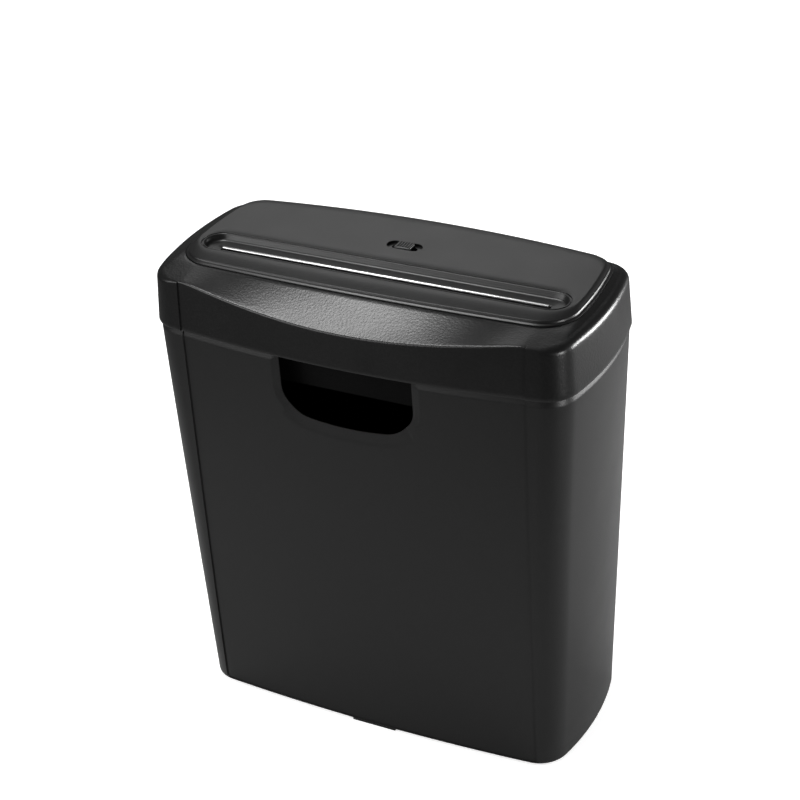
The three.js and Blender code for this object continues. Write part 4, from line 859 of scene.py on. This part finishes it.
def feedRings(last):  # down through the opening and the throat, and back up outside the chute
    floorZ, shelf = panelTop - panel["recessDeep"], boxOf("guide_bar")[0][2] - feed["barGap"]
    openHalf, throatHalf, wall = feed["openHalf"], feed["throatHalf"], feed["chuteWall"]
    openWide, openY = feed["barBack"] - feed["front"], (feed["barBack"] + feed["front"]) / 2
    throatWide, throatY = feed["barFront"] - feed["front"], (feed["barFront"] + feed["front"]) / 2
    chuteLow, shoulder = cutterTop + feed["aboveCutters"], plateTop + feed["abovePlates"]
    opening = lifted(slotRing(openHalf + 1.2, openWide + 1.0, openY, 2.5), floorZ)
    rings = [last * 0.5 + opening * 0.5, opening]
    for half, wide, y, corner, z in (
            (openHalf + 0.3, openWide + 0.2, openY, 1.2, floorZ - 0.25),
            (openHalf, openWide, openY, 0.9, floorZ - 0.9),
            (openHalf, openWide, openY, 0.9, shelf),
            (throatHalf, throatWide, throatY, 1.2, shelf),
            (throatHalf, throatWide, throatY, 1.2, shelf - 1),
            (throatHalf, throatWide, throatY, 1.2, chuteLow),
            (throatHalf + 2.2, throatWide + 2 * wall, throatY, 2, chuteLow),
            (throatHalf + 2.2, throatWide + 2 * wall, throatY, 2, shoulder),
            (openHalf + wall, openWide + 2 * wall, openY, 2, shoulder),
            (openHalf + wall, openWide + 2 * wall, openY, 2, floorZ - 2.2)):
        rings.append(lifted(slotRing(half, wide, y, corner), z))
    half, wide, y = panel["recessHalf"], panel["recessWide"], panel["recessY"]
    for longer, wider, z in ((-3, -3, floorZ - 1.2), (0.6, 1.2, panelTop - 5.6), (1.8, 3.6, panelTop - 3.6),
                             (2.0, 4.0, panelTop - panel["wall"])):
        rings.append(lifted(slotRing(half + longer, wide + wider, y), z))
    return rings


def addPanel():
    wall, base = panel["wall"], ledgeTop + panel["base"]
    rings = outsideRings()
    rings += recessRings(rings[-1])
    rings += feedRings(rings[-1])
    under = ovalRing(panelPlan, wall + panel["sideRoll"] - 1, wall + panel["frontRoll"] - 3)
    under = lifted(under, panelTop - wall)
    rings += [rings[-1] * 0.5 + under * 0.5, under, lifted(ovalRing(panelPlan, wall + 0.6, wall + 2), base),
              lifted(ovalRing(panelPlan, wall), flangeLow)]
    made = newObject("top_panel_shell", skin("top_panel_shell", rings, loop=True), finishes["panel"])
    for half, wide, bottom in ((track["half"], track["wide"], panelTop - track["deep"]),
                               (track["slotHalf"], track["slotWide"], panelTop - wall - 1)):
        combine(made, slotTool(half, wide, bottom, panelTop + 1, track["y"]), "DIFFERENCE")
    half, bottom = lever["half"], cutterTop + feed["aboveCutters"] - 1
    slit = boxMesh("slot", (-half, feed["front"] - lever["front"], bottom),
                   (half, feed["y"], panelTop - lever["under"]))
    combine(made, slit, "DIFFERENCE")
    sharpen(made, panel["sharp"])
    place(made, "head", "top_panel")


def slotTool(halfLong, halfWide, zLow, zHigh, y):  # a round-ended block that cuts a slot
    turn = np.linspace(-math.pi / 2, math.pi / 2, 17)
    right = np.stack([halfLong - halfWide + halfWide * np.cos(turn), halfWide * np.sin(turn)], 1)
    outline = np.vstack([right, -right]) + [0, y]
    return skin("slot", [lifted(outline, zLow), lifted(outline, zHigh)])


addPanel()
print("top panel built")


def makeRowTree():  # copies of a piece in a straight row, as one mesh
    tree = bpy.data.node_groups.new("pieceRow", "GeometryNodeTree")
    for label, kind in (("Geometry", "Geometry"), ("Piece", "Object"), ("Count", "Int"), ("First", "Vector"),
                        ("Step", "Vector"), ("Finish", "Material")):
        tree.interface.new_socket(label, in_out="INPUT", socket_type="NodeSocket" + kind)
    tree.interface.new_socket("Geometry", in_out="OUTPUT", socket_type="NodeSocketGeometry")
    start, end = tree.nodes.new("NodeGroupInput"), tree.nodes.new("NodeGroupOutput")
    line, piece, spread, real, paint = (
        tree.nodes.new("GeometryNode" + kind)
        for kind in ("MeshLine", "ObjectInfo", "InstanceOnPoints", "RealizeInstances", "SetMaterial"))
    for source, given, target, taken in (
            (start, "Piece", piece, "Object"), (start, "Count", line, "Count"),
            (start, "First", line, "Start Location"), (start, "Step", line, "Offset"),
            (line, "Mesh", spread, "Points"), (piece, "Geometry", spread, "Instance"),
            (spread, "Instances", real, "Geometry"), (real, "Geometry", paint, "Geometry"),
            (start, "Finish", paint, "Material"), (paint, "Geometry", end, "Geometry")):
        link(tree, source.outputs[given], target.inputs[taken])
    return tree


rowTree = makeRowTree()


def rowMesh(name, pieceMesh, count, first, step, material):
    piece, carrier = objectOf("piece", pieceMesh), objectOf(name, bpy.data.meshes.new(name))
    change = carrier.modifiers.new("row", "NODES")
    change.node_group = rowTree
    values = {"Piece": piece, "Count": count, "First": [v * mm for v in first],
              "Step": [v * mm for v in step], "Finish": material}
    for item in rowTree.interface.items_tree:
        if item.in_out == "INPUT" and item.name in values:
            change[item.identifier] = values[item.name]
    graph = bpy.context.evaluated_depsgraph_get()
    mesh = bpy.data.meshes.new_from_object(carrier.evaluated_get(graph))
    bpy.data.objects.remove(carrier)
    bpy.data.objects.remove(piece)
    return mesh


cutter = {
    "disc": 14.0, "shaft": 10.2, "journal": 5.0, "strip": 7.0, "half": 112.0, "gap": 0.3, "web": 3.6,
    "ground": 0.25, "chamfer": 0.6, "teeth": 30, "toothDeep": 0.9, "sharp": 30, "sides": 64,
}


def discMesh(wide, phase):  # a strip-cut disc: hooked teeth on the rim, edges ground back
    disc, ground = cutter["disc"], cutter["ground"]
    root = disc - cutter["toothDeep"]
    teeth = [(k + share, r) for k in range(cutter["teeth"])
             for share, r in ((0.0, disc), (0.62, disc), (0.72, root), (0.92, root))]
    turn = phase + 2 * math.pi / cutter["teeth"] * np.array([at for at, r in teeth])
    radius = np.array([r for at, r in teeth])
    rings = []
    for x, back in ((-wide / 2, cutter["web"]), (-wide / 2, ground), (-wide / 2 + ground, 0),
                    (wide / 2 - ground, 0), (wide / 2, ground), (wide / 2, cutter["web"])):
        r = radius - back
        rings.append(np.stack([np.full(len(turn), x), r * np.cos(turn), r * np.sin(turn)], 1))
    return skin("disc", rings)


def addCutter(node, body, parity):  # parity sets the discs of one cylinder between those of the other
    low, high = boxOf(node)
    y, z = ((low + high) / 2)[1:]
    cell, core, shaft, journal = cutter["strip"], cutter["half"], cutter["shaft"], cutter["journal"]
    count = int(round(2 * core / cell)) // 2
    first = -core + cell * (0.5 + parity)
    discs = rowMesh("discs", discMesh(cell - 2 * cutter["gap"], 0.1 * parity), count, (first, y, z),
                    (2 * cell, 0, 0), finishes["cutter"])
    cut = cutter["chamfer"]
    profile = [(journal - cut, low[0]), (journal, low[0] + cut), (journal, -core - 0.01), (shaft, -core),
               (shaft, core), (journal, core + 0.01), (journal, high[0] - cut), (journal - cut, high[0])]
    mesh = turnedMesh(node, profile, "X", (0, y, z), cutter["sides"])
    made = newObject(node + "_cut", mesh, finishes["cutter"], cutter["sharp"])
    combine(made, discs, "UNION")
    sharpen(made, cutter["sharp"])
    place(made, body, node)


addCutter("front_cutter", "front_cutter", 0)
addCutter("rear_cutter", "rear_cutter", 1)
print("cutters built")


guideRound = {"width": 1.05, "segments": 5}


def addGuideBar():
    low, high = boxOf("guide_bar")
    made = newObject("guide_bar_rail", boxMesh("guide_bar_rail", low, high), finishes["guide"])
    roundOff(made, guideRound["width"], guideRound["segments"])
    made.data.shade_smooth()
    place(made, "head", "guide_bar")


knob = {"edge": 0.8, "gap": 0.3, "stemHalf": 3, "stemWide": 1.9, "ribs": 5, "pitch": 1.9, "ribWide": 0.9,
        "ribHigh": 0.55, "ribIn": 1, "sharp": 30}


def addKnob():
    low, high = boxOf("mode_knob")
    tall, w = knob["ribHigh"], knob["ribWide"] / 2
    top, foot = high[2] - tall, panelTop - track["deep"] + knob["gap"]
    x, y = ((low + high) / 2)[:2]
    made = newObject("mode_knob_grip", boxMesh("grip", (low[0], low[1], foot), (high[0], high[1], top)),
                     finishes["knob"], knob["sharp"])
    roundOff(made, knob["edge"], 4)
    half, wide = knob["stemHalf"], knob["stemWide"]
    combine(made, boxMesh("stem", (x - half, y - wide, low[2]), (x + half, y + wide, foot + 0.6)), "UNION")
    rib = [(-w, -0.5), (-w, tall * 0.6), (-w * 0.4, tall), (w * 0.4, tall), (w, tall * 0.6), (w, -0.5)]
    ends = (low[1] + knob["ribIn"] - y, high[1] - knob["ribIn"] - y)
    points = [(px, py, pz) for py in ends for px, pz in rib]
    n = len(rib)
    faces = [tuple(range(n)), tuple(range(n, 2 * n))] + band(0, n, n)
    start = x - knob["pitch"] * (knob["ribs"] - 1) / 2
    ribs = rowMesh("ribs", meshOf("rib", points, faces), knob["ribs"], (start, y, top),
                   (knob["pitch"], 0, 0), finishes["knob"])
    combine(made, ribs, "UNION")
    sharpen(made, knob["sharp"])
    place(made, "mode_knob", "mode_knob")


def addGland():  # a flange against the wall and a ribbed, tapering sleeve
    low, high = boxOf("cable_gland")
    x, z = ((low + high) / 2)[::2]
    out, b, neck, flange = high[1], gland["bore"], gland["neck"], gland["flange"]
    face = out - gland["length"]
    flangeEnd, tail = face + gland["flangeThick"], face - gland["tail"]
    profile = [(b, tail), (neck, tail), (neck, face), (flange, face), (flange, flangeEnd - 0.4),
               (flange - 0.4, flangeEnd)]
    spare = (out - flangeEnd) / gland["ribs"]
    for k in range(gland["ribs"]):
        y, r = flangeEnd + spare * (k + 0.15), neck + 0.5 - 0.45 * k
        profile += [(r - 0.5, y), (r, y + 0.15), (r, y + spare * 0.5), (r - 0.5, y + spare * 0.65)]
    profile += [(b + 0.4, out), (b, out - 0.3)]
    sides = gland["sides"]
    turn = np.linspace(0, 2 * math.pi, sides, endpoint=False)
    rings = [np.stack([x + r * np.cos(turn), np.full(sides, y), z + r * np.sin(turn)], 1) for r, y in profile]
    mesh = skin("cable_gland_sleeve", rings, loop=True)
    made = newObject("cable_gland_sleeve", mesh, finishes["rubber"], gland["sharp"])
    place(made, "head", "cable_gland")


screw = {"radius": 1.4, "head": 2.8, "headHigh": 1.6, "pitch": 0.9, "root": 0.8, "cross": 0.55, "slit": 0.35,
         "crossDeep": 0.9, "sides": 32, "sharp": 30}


def addScrew(node, body):  # driven upwards: pan head below with a cross recess, turned thread above
    low, high = boxOf(node)
    base, tip, middle = low[2], high[2], (low + high) / 2
    middle[2] = 0
    radius, width, root = screw["radius"], screw["head"], screw["radius"] * screw["root"]
    profile = [(width * 0.55, base), (width * 0.85, base + 0.2), (width, base + 0.7),
               (width, base + screw["headHigh"]), (radius, base + screw["headHigh"] + 0.01)]
    at = base + screw["headHigh"] + 0.5
    while tip - at > 1.4:
        profile += [(root, at), (radius, at + screw["pitch"] * 0.5)]
        at += screw["pitch"]
    profile += [(root, tip - 0.8), (radius * 0.3, tip)]
    mesh = turnedMesh(node, profile, "Z", middle, screw["sides"])
    made = newObject(node + "_cross", mesh, finishes["fastener"], screw["sharp"])
    for size in ((screw["slit"], width * screw["cross"], 0), (width * screw["cross"], screw["slit"], 0)):
        bottom, top = middle - size, middle + size
        bottom[2], top[2] = base - 0.5, base + screw["crossDeep"]
        combine(made, boxMesh("cross", bottom, top), "DIFFERENCE")
    place(made, body, node)


addGuideBar()
addKnob()
addGland()
for i in range(1, 5):
    addScrew(f"tray_screw_{i}", "head")
print("guide bar, knob, gland and screws built")


finishOf = {  # the parts that keep their own shape and only need a finish
    # the inner parts take a plastic darkened to stand in for the shade inside the bin
    "inner": ["chassis_tray", "stripper_comb_front", "stripper_comb_rear", "sensor_switch", "mode_switch",
              "interlock_switch", "motor_cap"],
    "gear": ["drive_gear", "sync_gear_front", "sync_gear_rear"],
    "plate": ["side_plate_left", "side_plate_right", "tie_rod_1", "tie_rod_2", "tie_rod_3"],
    "can": ["motor_can"],
    "shaft": ["motor_shaft", "second_axle", "first_axle"],
    "fastener": ["shaft_clip_front_right", "shaft_clip_front_left", "shaft_clip_rear_left", "second_clip",
                 "first_clip", "motor_screw_1", "motor_screw_2", "board_screw_1", "board_screw_2"],
    "bronze": ["bush_front_left", "bush_front_right", "bush_rear_left", "bush_rear_right"],
    "brass": ["motor_pinion"],
    "nylon": ["second_gear", "first_gear", "sensor_lever", "interlock_plunger"],
    "board": ["circuit_board"],
    "amber": ["capacitor"],
}
for finishName, nodes in finishOf.items():
    for node in nodes:
        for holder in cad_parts[node].material_slots:
            holder.material = finishes[finishName]
print("carried-over parts finished")
